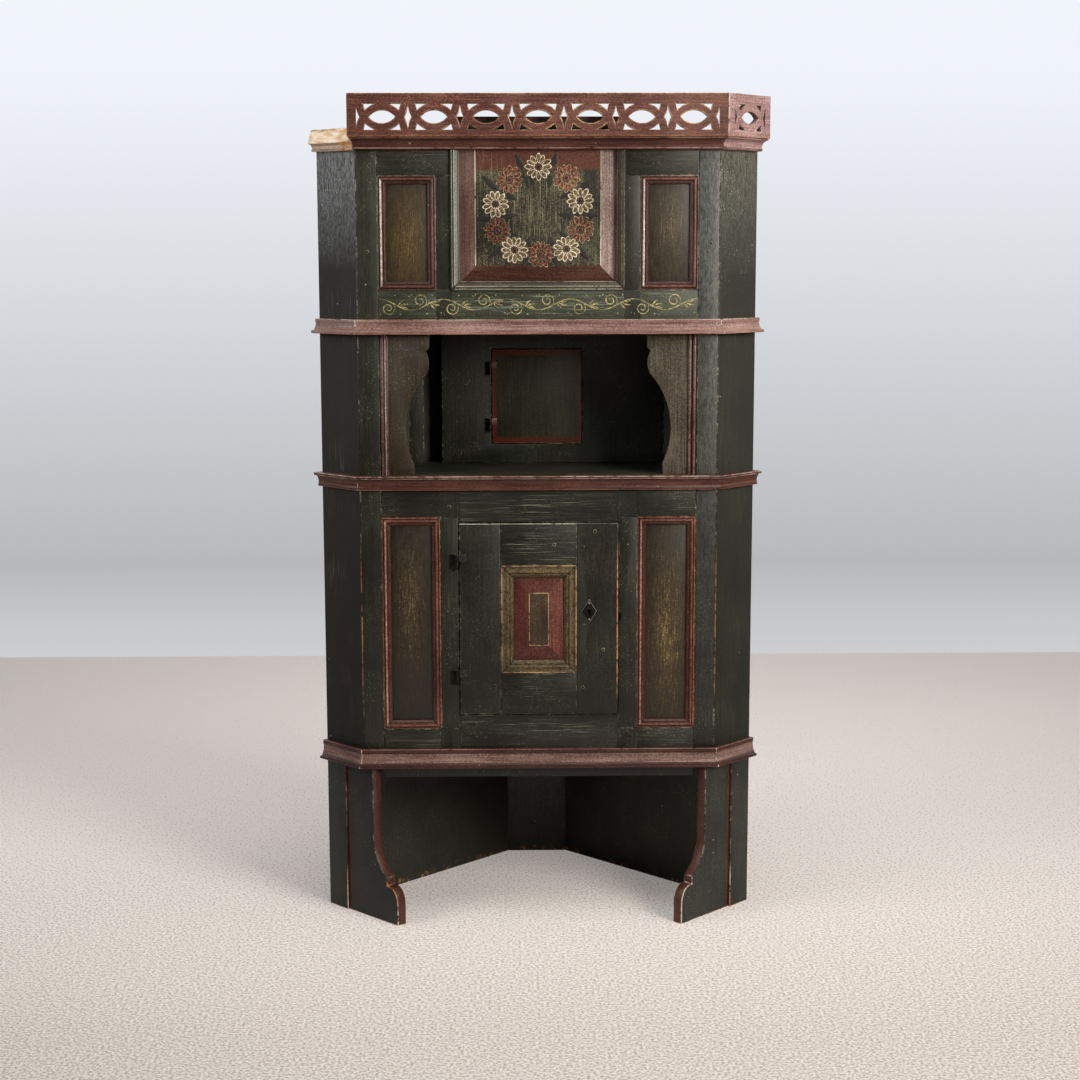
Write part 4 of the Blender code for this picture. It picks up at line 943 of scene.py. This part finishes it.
for node, (front, back) in door["frame"].items():
    dress(node, bareBehind(front, back), door["arris"], doorWear)
cutAt(dressed["door_stile_right"], [(edgeFrom, 0, 0)], (1, 0, 0))
repaint(dressed["door_stile_right"], lockEdgeFinish)
dress("door_panel", doorFinish, door["panelArris"],
      lambda center, normal: wornOlive if center.y < doorField + door["rub"] else doorFinish(center, normal),
      door["sharpest"])
piece = dress("door_moulding", doorStripFinish, panels["arris"])
mitreLines(piece, frameCorners(beadLow, beadHigh), door["reach"], door["mitre"])
print("door dressed")

# ironwork: the straps on the doors were painted over with them
ironwork = {
    "arris": 0.0004, "plateArris": 0.0007, "strap": 0.009, "plateEdge": 0.36,
    "painted": {"door_hinge_eye": stileGreen, "niche_hinge_eye": nicheDoorPaint},
}
plateLow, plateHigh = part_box("escutcheon")
plateMiddle, plateSize = (plateLow + plateHigh) / 2, plateHigh - plateLow


def plateWear(center, normal):
    out = abs(center.x - plateMiddle.x) / plateSize.x + abs(center.z - plateMiddle.z) / plateSize.z
    return rubbedIron if out > ironwork["plateEdge"] else iron


for node in sorted(nodes):
    if slotOf[node] == "iron" and node != "escutcheon":
        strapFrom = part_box(node)[0].x + ironwork["strap"]
        strap = ironwork["painted"].get(node.rsplit("_", 1)[0], iron)

        def ironFinish(center, normal):
            if center.x > strapFrom:
                return strap
            # the tops of the hinges are painted bright: a painted highlight
            return rubbedIron if normal.z > 0.7 else iron

        dress(node, ironFinish, ironwork["arris"])
dress("escutcheon", iron, ironwork["plateArris"], plateWear)
print("ironwork dressed")


def settle(piece, body):
    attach(piece, body)
    return piece


def stamp(model, name, place=(0, 0, 0), turn=0.0, size=1.0):
    piece = bpy.data.objects.new(name, model.data.copy())
    bpy.context.collection.objects.link(piece)
    piece.data.transform(Matrix.Translation(place) @ Matrix.Rotation(turn, 4, "Y") @ Matrix.Scale(size, 4))
    return piece


def joinAs(pieces, name):
    bpy.ops.object.select_all(action="DESELECT")
    for piece in pieces:
        piece.select_set(True)
    bpy.context.view_layer.objects.active = pieces[0]
    bpy.ops.object.join()
    pieces[0].name = pieces[0].data.name = name
    bpy.ops.object.shade_smooth()
    return pieces[0]


faceFront = (math.radians(90), 0, 0)  # turns what is added flat on the floor to face the front

# ends of the wooden pegs in the frame joints, standing a little proud with a worn rim
pegs = {
    "radius": 0.0036, "long": 0.004, "rim": 0.0009, "proud": 0.0005, "sunk": 0.0001,
    "door": [(0.1111, 0.7893), (0.0870, 0.7588), (0.0306, 0.7631), (-0.1209, 0.6964), (-0.0877, 0.4774),
             (0.0874, 0.4744), (0.1280, 0.5510)],
    "frame": [(-0.3300, 1.3350), (-0.3270, 1.0850), (0.3340, 1.3500), (-0.1760, 0.8380), (0.1760, 0.3800)],
}
bpy.ops.mesh.primitive_cylinder_add(vertices=18, rotation=faceFront, radius=pegs["radius"],
                                    depth=pegs["long"])
peg = bpy.context.active_object
bpy.ops.object.transform_apply(location=True, rotation=True, scale=True)
selectParts(peg, "FACE", lambda face: face.normal.y < -0.9)
bpy.ops.mesh.inset(thickness=pegs["rim"])
bpy.ops.transform.translate(value=(0, -pegs["proud"], 0))
bpy.ops.object.mode_set(mode="OBJECT")
repaint(peg, lambda face: wornRing if -0.99 < face.normal.y < -0.1 else stileGreen)
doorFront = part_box("door_stile_left")[0].y
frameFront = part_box("corner_stile_left")[0].y
for body, front, places in (("lower_door", doorFront, pegs["door"]), ("carcass", frameFront, pegs["frame"])):
    for k, (x, z) in enumerate(places):
        made = stamp(peg, f"{camel(body)}Peg{k + 1}", (x, front + pegs["long"] / 2 - pegs["sunk"], z))
        settle(made, body)

# forged nails with domed heads, driven where the ray finds the surface
nails = {
    "radius": 0.0021, "flat": 0.5, "under": 0.0004,
    "places": [("escutcheon", 0.0997, 0.6455), ("escutcheon", 0.0997, 0.6125),
               ("base_moulding", 0.002, 0.3370), ("upper_waist_moulding", 0.3450, 1.1960),
               ("cornice", -0.2450, 1.5400), ("cornice", 0.1100, 1.5400)],
}
bpy.ops.mesh.primitive_uv_sphere_add(segments=12, ring_count=8, radius=nails["radius"])
nail = bpy.context.active_object
bpy.ops.object.mode_set(mode="EDIT")
bpy.ops.mesh.select_all(action="SELECT")
bpy.ops.transform.resize(value=(1, nails["flat"], 1), center_override=(0, 0, 0))
bpy.ops.mesh.bisect(plane_co=(0, nails["under"], 0), plane_no=(0, 1, 0), clear_outer=True, use_fill=True)
bpy.ops.object.mode_set(mode="OBJECT")
bpy.ops.object.shade_smooth_by_angle(angle=smoothBelow)
nail.data.materials.append(rubbedIron)
bpy.context.view_layer.update()
for k, (node, x, z) in enumerate(nails["places"]):
    hit, point, normal, index = dressed[node].ray_cast((x, -1, z), (0, 1, 0))
    settle(stamp(nail, f"domedNail{k + 1}", point), bodyOf[node])

# the planks of the back are nailed to the four level boards
backNails = {"heights": [0.332, 0.886, 1.191, 1.540], "along": [-0.30, -0.13, 0.02], "stray": 0.006}
for node, outward in carcass["walls"].items():
    if outward:
        out, along = Vector(outward).normalized(), Vector((-outward[0], outward[1], 0)).normalized()
        wallBack = max(vert.co.dot(out) for vert in dressed[node].data.vertices)
        heads = []
        for height in backNails["heights"]:
            for reach in backNails["along"]:
                head = stamp(nail, "head")
                stray = dice.uniform(-backNails["stray"], backNails["stray"])
                spot = along * reach + out * wallBack + Vector((0, 0, height + stray))
                turn = Matrix.Rotation(math.atan2(out.x, -out.y), 4, "Z")
                head.data.transform(Matrix.Translation(spot) @ turn)
                heads.append(head)
        settle(joinAs(heads, camel(node) + "Nails"), bodyOf[node])
print("pegs and nails driven")

# painted wreath: daisies in cream and red drawn with looped strokes, dark leaves between them
wreath = {
    "cream": [(0.0009, 1.4957), (0.0816, 1.4313), (0.0547, 1.3399), (-0.0458, 1.3382), (-0.0820, 1.4258)],
    "red": [(0.0547, 1.4748), (0.0817, 1.3761), (0.0044, 1.3305), (-0.0785, 1.3745), (-0.0549, 1.4712)],
    "creamPetals": 12, "redPetals": 13, "creamReach": 0.0165, "redReach": 0.0175, "sink": 0.0001,
    "stray": 0.14, "sizes": (0.93, 1.06), "narrow": 0.62, "narrowFrom": 0.002,
    "flat": 0.35, "long": 1.95, "creamLoop": (0.0044, 0.0006), "outerLoop": (0.0045, 0.0005),
    "innerLoop": (0.0027, 0.0006), "innerIn": 0.0018,  # radius and stroke of each loop
    "fill": (0.0038, 1.9), "vein": (0.0011, 4.2), "veinReach": 0.0090, "fillFlat": 0.06,
    "creamEye": 0.0040, "redEye": 0.0042, "eyeFlat": 0.10, "ring": 0.0007, "ringFlat": 0.75,
}
strokePaint = {"rough": (0.42, 0.58)}
creamStroke = oilPaint("CreamStrokes", strokePaint, "#94866a #dccfb6 #f6efe0")
tanFill = oilPaint("TanPetals", strokePaint, "#352c1a #5f5033 #8f7b55")
redStroke = oilPaint("VermilionStrokes", strokePaint, "#5f2016 #8c3726 #b4583f")
ochreStroke = oilPaint("OchreStrokes", strokePaint, "#4c3f2a #847050 #b9a684")
eyeRed = oilPaint("BrownEyes", strokePaint, "#40170d #5c2717 #7c4630")
leafDark = oilPaint("DarkLeaves", strokePaint, "#14150e #1c1d15 #29291e")


def flattened(piece, stretch, shift, finish):
    bpy.ops.object.transform_apply(location=True, rotation=True, scale=True)
    bpy.ops.object.mode_set(mode="EDIT")
    bpy.ops.mesh.select_all(action="SELECT")
    bpy.ops.transform.resize(value=stretch)
    bpy.ops.transform.translate(value=shift)
    bpy.ops.object.mode_set(mode="OBJECT")
    piece.data.materials.append(finish)
    return piece


# narrower towards the eye of the flower
def tapered(piece, reach):
    selectParts(piece, "VERT", lambda vert: vert.co.z < reach - wreath["narrowFrom"])
    bpy.ops.transform.resize(value=(wreath["narrow"], 1, 1))
    bpy.ops.object.mode_set(mode="OBJECT")
    return piece


def strokeRing(wide, stroke, stretch, shift, finish):
    bpy.ops.mesh.primitive_torus_add(rotation=faceFront, major_segments=18, minor_segments=6,
                                     major_radius=wide, minor_radius=stroke)
    return flattened(bpy.context.active_object, stretch, shift, finish)


def petalLoop(wide, stroke, reach, finish):
    loop = strokeRing(wide, stroke, (1, wreath["flat"], wreath["long"]), (0, 0, reach), finish)
    return tapered(loop, reach)


def petalFill(wide, tall, reach, finish):
    bpy.ops.mesh.primitive_uv_sphere_add(segments=10, ring_count=6, radius=wide)
    fill = flattened(bpy.context.active_object, (1, wreath["fillFlat"], tall), (0, 0, reach), finish)
    return tapered(fill, reach)


def flowerEye(radius, finish, ringFinish):
    bpy.ops.mesh.primitive_uv_sphere_add(segments=16, ring_count=6, radius=radius)
    disc = flattened(bpy.context.active_object, (1, wreath["eyeFlat"], 1), (0, 0, 0), finish)
    ring = strokeRing(radius, wreath["ring"], (1, wreath["ringFlat"], 1), (0, 0, 0), ringFinish)
    return joinAs([disc, ring], "eye")


creamReach, redReach = wreath["creamReach"], wreath["redReach"]
creamPetal = joinAs([petalFill(*wreath["fill"], creamReach, tanFill),
                     petalLoop(*wreath["creamLoop"], creamReach, creamStroke),
                     petalFill(*wreath["vein"], wreath["veinReach"], eyeRed)], "creamPetal")
redPetal = joinAs([petalLoop(*wreath["outerLoop"], redReach, ochreStroke),
                   petalLoop(*wreath["innerLoop"], redReach - wreath["innerIn"], redStroke)], "redPetal")
creamEye = flowerEye(wreath["creamEye"], leafDark, eyeRed)
redEye = flowerEye(wreath["redEye"], leafDark, redStroke)


def flower(name, place, petals, petal, heart):
    start = dice.uniform(0, 6.28)
    strokes = []
    for k in range(petals):
        turn = start + 2 * math.pi * (k + dice.uniform(-wreath["stray"], wreath["stray"])) / petals
        strokes.append(stamp(petal, "stroke", (0, 0, 0), turn, dice.uniform(*wreath["sizes"])))
    strokes.append(stamp(heart, "stroke"))
    made = joinAs(strokes, name)
    made.data.transform(Matrix.Translation((place[0], fieldFront - wreath["sink"], place[1])))
    settle(made, "hatch")


for k, place in enumerate(wreath["cream"]):
    flower(f"creamDaisy{k + 1}", place, wreath["creamPetals"], creamPetal, creamEye)
for k, place in enumerate(wreath["red"]):
    flower(f"redDaisy{k + 1}", place, wreath["redPetals"], redPetal, redEye)

leaves = {
    "pairs": [  # root and tip of each leaf on the field
        ((-0.0274, 1.4905), (-0.0435, 1.5197)), ((-0.0780, 1.4524), (-0.1087, 1.4799)),
        ((-0.0960, 1.4021), (-0.1195, 1.3985)), ((-0.0700, 1.3450), (-0.0945, 1.3226)),
        ((-0.0209, 1.3300), (-0.0303, 1.3080)), ((0.0280, 1.4960), (0.0353, 1.5207)),
        ((0.0800, 1.4560), (0.1143, 1.4773)), ((0.0930, 1.4035), (0.1165, 1.4052)),
        ((0.0776, 1.3430), (0.0984, 1.3187)), ((0.0300, 1.3300), (0.0352, 1.3080)),
        ((-0.0240, 1.4800), (-0.0180, 1.4560)), ((0.0250, 1.4800), (0.0200, 1.4560)),
        ((-0.0640, 1.4470), (-0.0400, 1.4330)), ((0.0640, 1.4500), (0.0420, 1.4350)),
        ((-0.0680, 1.4010), (-0.0400, 1.4050)), ((0.0680, 1.4030), (0.0380, 1.4050)),
        ((-0.0580, 1.3560), (-0.0380, 1.3720)), ((0.0600, 1.3580), (0.0400, 1.3720)),
        ((-0.0200, 1.3450), (-0.0160, 1.3640)), ((0.0270, 1.3450), (0.0220, 1.3640))],
    "width": 0.0064, "widths": (0.85, 1.15), "flat": 0.0003, "tipFrom": 0.62, "tip": 0.7,
}
bpy.ops.mesh.primitive_uv_sphere_add(segments=10, ring_count=8, radius=1)
leaf = flattened(bpy.context.active_object, (1, 1, 0.5), (0, 0, 0.5), leafDark)  # one unit long from its root
selectParts(leaf, "VERT", lambda vert: vert.co.z > leaves["tipFrom"])
bpy.ops.transform.resize(value=(leaves["tip"], 1, 1))
bpy.ops.object.mode_set(mode="OBJECT")
for k, (root, tip) in enumerate(leaves["pairs"]):
    run = Vector((tip[0] - root[0], 0, tip[1] - root[1]))
    made = stamp(leaf, f"wreathLeaf{k + 1}")
    grow = Matrix.Diagonal((leaves["width"] * dice.uniform(*leaves["widths"]), leaves["flat"], run.length, 1))
    turn = Matrix.Rotation(math.atan2(run.x, run.z), 4, "Y")
    made.data.transform(Matrix.Translation((root[0], fieldFront, root[1])) @ turn @ grow)
    pick(made)
    bpy.ops.object.shade_smooth()
    settle(made, "hatch")
print("wreath painted")

# running scroll along the band: one scroll drawn once and repeated, every second one upside down
scroll = {
    "pitch": 0.0616, "count": 10, "middle": 1.2335, "wave": 0.0105, "flat": 0.28, "bevel": 0.001,
    "stemSteps": 16, "stemWidths": (0.0014, 0.0028, 0.0014),
    "curlAt": (0.28, -0.0075), "curl": (0.0135, 0.0026), "curlFrom": 42, "turns": 1.55,
    "curlSteps": 40, "curlWidths": (0.0012, 0.0034, 0.0016),
    "sprays": [(78, 0.0150, 0.60), (48, 0.0170, 0.64), (18, 0.0150, 0.68)],  # angle, reach, root on the stem
    "spraySteps": 8, "sprayBend": 30, "sprayWidths": (0.0010, 0.0040, 0.0008),
    "dots": [(0.50, 0.0175), (0.94, 0.0160), (0.03, -0.0185), (0.66, -0.0185)],
    "dotHalf": 0.0012, "dotWidths": (0.0022, 0.0034, 0.0022),
}
goldStroke = oilPaint("GoldOchreScroll", strokePaint, "#4c4d33 #8f8757 #c4b884")
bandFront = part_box("band_rail")[0].y


# the widths are those at the start, the middle and the end of the stroke
def brushStroke(points, widths):
    start, middle, end = widths
    line = bpy.data.curves.new("stroke", "CURVE")
    line.dimensions = "3D"
    line.bevel_depth = scroll["bevel"]
    line.bevel_resolution = 1
    line.use_fill_caps = True
    path = line.splines.new("POLY")
    path.points.add(len(points) - 1)
    for k, (x, z) in enumerate(points):
        t = k / (len(points) - 1)
        width = start + (middle - start) * (2 * t) if t < 0.5 else middle + (end - middle) * (2 * t - 1)
        path.points[k].co = (x, 0, z, 1)
        path.points[k].radius = width / 2 / scroll["bevel"]
    drawn = bpy.data.objects.new("stroke", line)
    bpy.context.collection.objects.link(drawn)
    pick(drawn)
    bpy.ops.object.convert(target="MESH")
    return bpy.context.active_object


pitch = scroll["pitch"]
stemPoints = []
for k in range(scroll["stemSteps"] + 1):
    t = k / scroll["stemSteps"]
    stemPoints.append((pitch * t, scroll["wave"] * math.cos(math.pi * t)))
strokes = [brushStroke(stemPoints, scroll["stemWidths"])]
centreX, centreZ = scroll["curlAt"][0] * pitch, scroll["curlAt"][1]
curlPoints = []
for k in range(scroll["curlSteps"] + 1):
    t = k / scroll["curlSteps"]
    angle = math.radians(scroll["curlFrom"]) - t * scroll["turns"] * 2 * math.pi
    radius = scroll["curl"][0] * (1 - t) + scroll["curl"][1] * t
    curlPoints.append((centreX + radius * math.cos(angle), centreZ + radius * math.sin(angle)))
strokes.append(brushStroke(curlPoints, scroll["curlWidths"]))
for angle, reach, root in scroll["sprays"]:
    rootZ = scroll["wave"] * math.cos(math.pi * root)
    bow = []
    for k in range(scroll["spraySteps"] + 1):
        t = k / scroll["spraySteps"]
        swing = math.radians(angle - scroll["sprayBend"] * t)
        bow.append((pitch * root + reach * t * math.cos(swing), rootZ + reach * t * math.sin(swing)))
    strokes.append(brushStroke(bow, scroll["sprayWidths"]))
for dotX, dotZ in scroll["dots"]:
    dot = [(pitch * dotX + step, dotZ) for step in (-scroll["dotHalf"], 0, scroll["dotHalf"])]
    strokes.append(brushStroke(dot, scroll["dotWidths"]))
motif = joinAs(strokes, "motif")
motif.data.materials.clear()
motif.data.materials.append(goldStroke)
bpy.ops.object.mode_set(mode="EDIT")
bpy.ops.mesh.select_all(action="SELECT")
bpy.ops.mesh.remove_doubles(threshold=0.00001)  # closes the ends of the strokes
bpy.ops.transform.resize(value=(1, scroll["flat"], 1), center_override=(0, 0, 0))
bpy.ops.object.mode_set(mode="OBJECT")
start = -pitch * scroll["count"] / 2
for k in range(scroll["count"]):
    made = stamp(motif, f"bandScroll{k + 1}")
    flip = Matrix.Diagonal((1, 1, 1 if k % 2 == 0 else -1, 1))
    made.data.transform(Matrix.Translation((start + pitch * k, bandFront, scroll["middle"])) @ flip)
    pick(made)
    bpy.ops.object.mode_set(mode="EDIT")
    bpy.ops.mesh.select_all(action="SELECT")
    bpy.ops.mesh.normals_make_consistent(inside=False)
    bpy.ops.object.mode_set(mode="OBJECT")
    settle(made, "carcass")
for model in (peg, nail, creamPetal, redPetal, creamEye, redEye, leaf, motif):
    bpy.data.objects.remove(model)
print("band painted")

# floor and backdrop
stage = {"size": 14.0, "wallAway": 2.36, "grain": 0.0055, "nearFar": (-0.8, 1.5), "paperTop": 2.6}
bpy.ops.mesh.primitive_plane_add(size=stage["size"], location=(0, 0, 0))
floor = bpy.context.active_object
floor.name = "studioFloor"
material, add, shader, spot = newFinish("sheetFloorPale")  # its speckles are drawn as coarse as a pixel
grains = add("TexNoise", {"Vector": spot, "Scale": 1 / stage["grain"], "Detail": 2.0})
tone = add("ValToRGB", {"Fac": grains}, stops=[(0.38, "#bfb6af"), (0.5, "#e6dfda"), (0.62, "#fbf6f2")])
back = add("MapRange", {0: add("SeparateXYZ", {0: spot}).outputs["Y"]}, span=stage["nearFar"])
glow = add("ValToRGB", {"Fac": back}, stops=[(0.0, "#2e2d2d"), (0.45, "#858280"), (1.0, "#999593")])
seen = add("LightPath").outputs["Is Camera Ray"]  # daylight on the far floor, for the camera only
plug(shader, {"Base Color": tone, "Roughness": 0.75, "Emission Color": glow, "Emission Strength": seen})
floor.data.materials.append(material)
bpy.ops.mesh.primitive_plane_add(size=stage["size"], location=(0, stage["wallAway"], 0), rotation=faceFront)
wall = bpy.context.active_object
wall.name = "studioWall"
bpy.ops.object.transform_apply(location=True, rotation=True, scale=True)
material, add, shader, spot = newFinish("paperBackdrop")  # matt paper roll, paler towards the top
rise = add("MapRange", {0: add("SeparateXYZ", {0: spot}).outputs["Z"]}, span=(0.0, stage["paperTop"]))
tone = add("ValToRGB", {"Fac": rise}, stops=[(0.0, "#cdced0"), (0.045, "#c6c8ca"), (0.12, "#b7b8ba"),
                                             (0.38, "#d0d3d7"), (0.7, "#eef2f8"), (1.0, "#f7fbff")])
seen = add("LightPath").outputs
mirrored = add("Math", {0: seen["Is Camera Ray"], 1: seen["Is Glossy Ray"]}, operation="MAXIMUM")
anyView = add("Math", {0: mirrored, 1: seen["Is Transmission Ray"]}, operation="MAXIMUM")
shine = add("Emission", {"Color": tone, "Strength": anyView})
behind = add("NewGeometry").outputs["Backfacing"]  # seen through from behind, so the back can be looked at
sheet = add("MixShader", {0: behind, 1: shine, 2: add("BsdfTransparent")})
plug(material.node_tree.nodes["Material Output"], {"Surface": sheet})
wall.data.materials.append(material)

# light: a big soft lamp at the right, near the top of the cabinet, weaker ones from the side and the left
lamps = {
    "keyLamp": {"place": (2.2, -2.5, 2.1), "aim": (0, -0.1, 1.5), "size": 1.5, "spread": 110,
                "power": 46, "tone": "#fff5ea"},
    "sideLamp": {"place": (3.0, 0.0, 2.3), "aim": (0.3, 0, 1.6), "size": 1.4, "spread": 110,
                 "power": 7, "tone": "#fff1ec"},
    "fillLamp": {"place": (-2.7, -1.2, 2.2), "aim": (-0.2, 0, 1.5), "size": 1.6, "spread": 110,
                 "power": 19, "tone": "#f8f5f0"},
    "topLamp": {"place": (0.3, -0.9, 3.7), "aim": (0, 0, 1.0), "size": 2.0, "spread": 130,
                "power": 22, "tone": "#ffffff"},
}
for name, lamp in lamps.items():
    bpy.ops.object.light_add(type="AREA", location=lamp["place"])
    made = bpy.context.active_object
    made.name = name
    made.data.shape = "SQUARE"
    made.data.size = lamp["size"]
    made.data.spread = math.radians(lamp["spread"])
    made.data.energy = lamp["power"]
    made.data.color = hexColour(lamp["tone"])[:3]
    away = Vector(lamp["aim"]) - Vector(lamp["place"])
    made.rotation_euler = away.to_track_quat("-Z", "Y").to_euler()
room = {"light": "#f3efe8", "strength": 0.12, "seen": 0.93}
world = bpy.data.worlds.new("paleRoom")
bpy.context.scene.world = world
world.use_nodes = True
add = partial(addNode, world.node_tree)
seen = add("LightPath").outputs["Is Camera Ray"]
lit = add("MapRange", {0: seen}, span=(0.0, 1.0, room["strength"], room["seen"]))
plug(world.node_tree.nodes["Background"], {"Color": room["light"], "Strength": lit})
print("stage and lamps set")
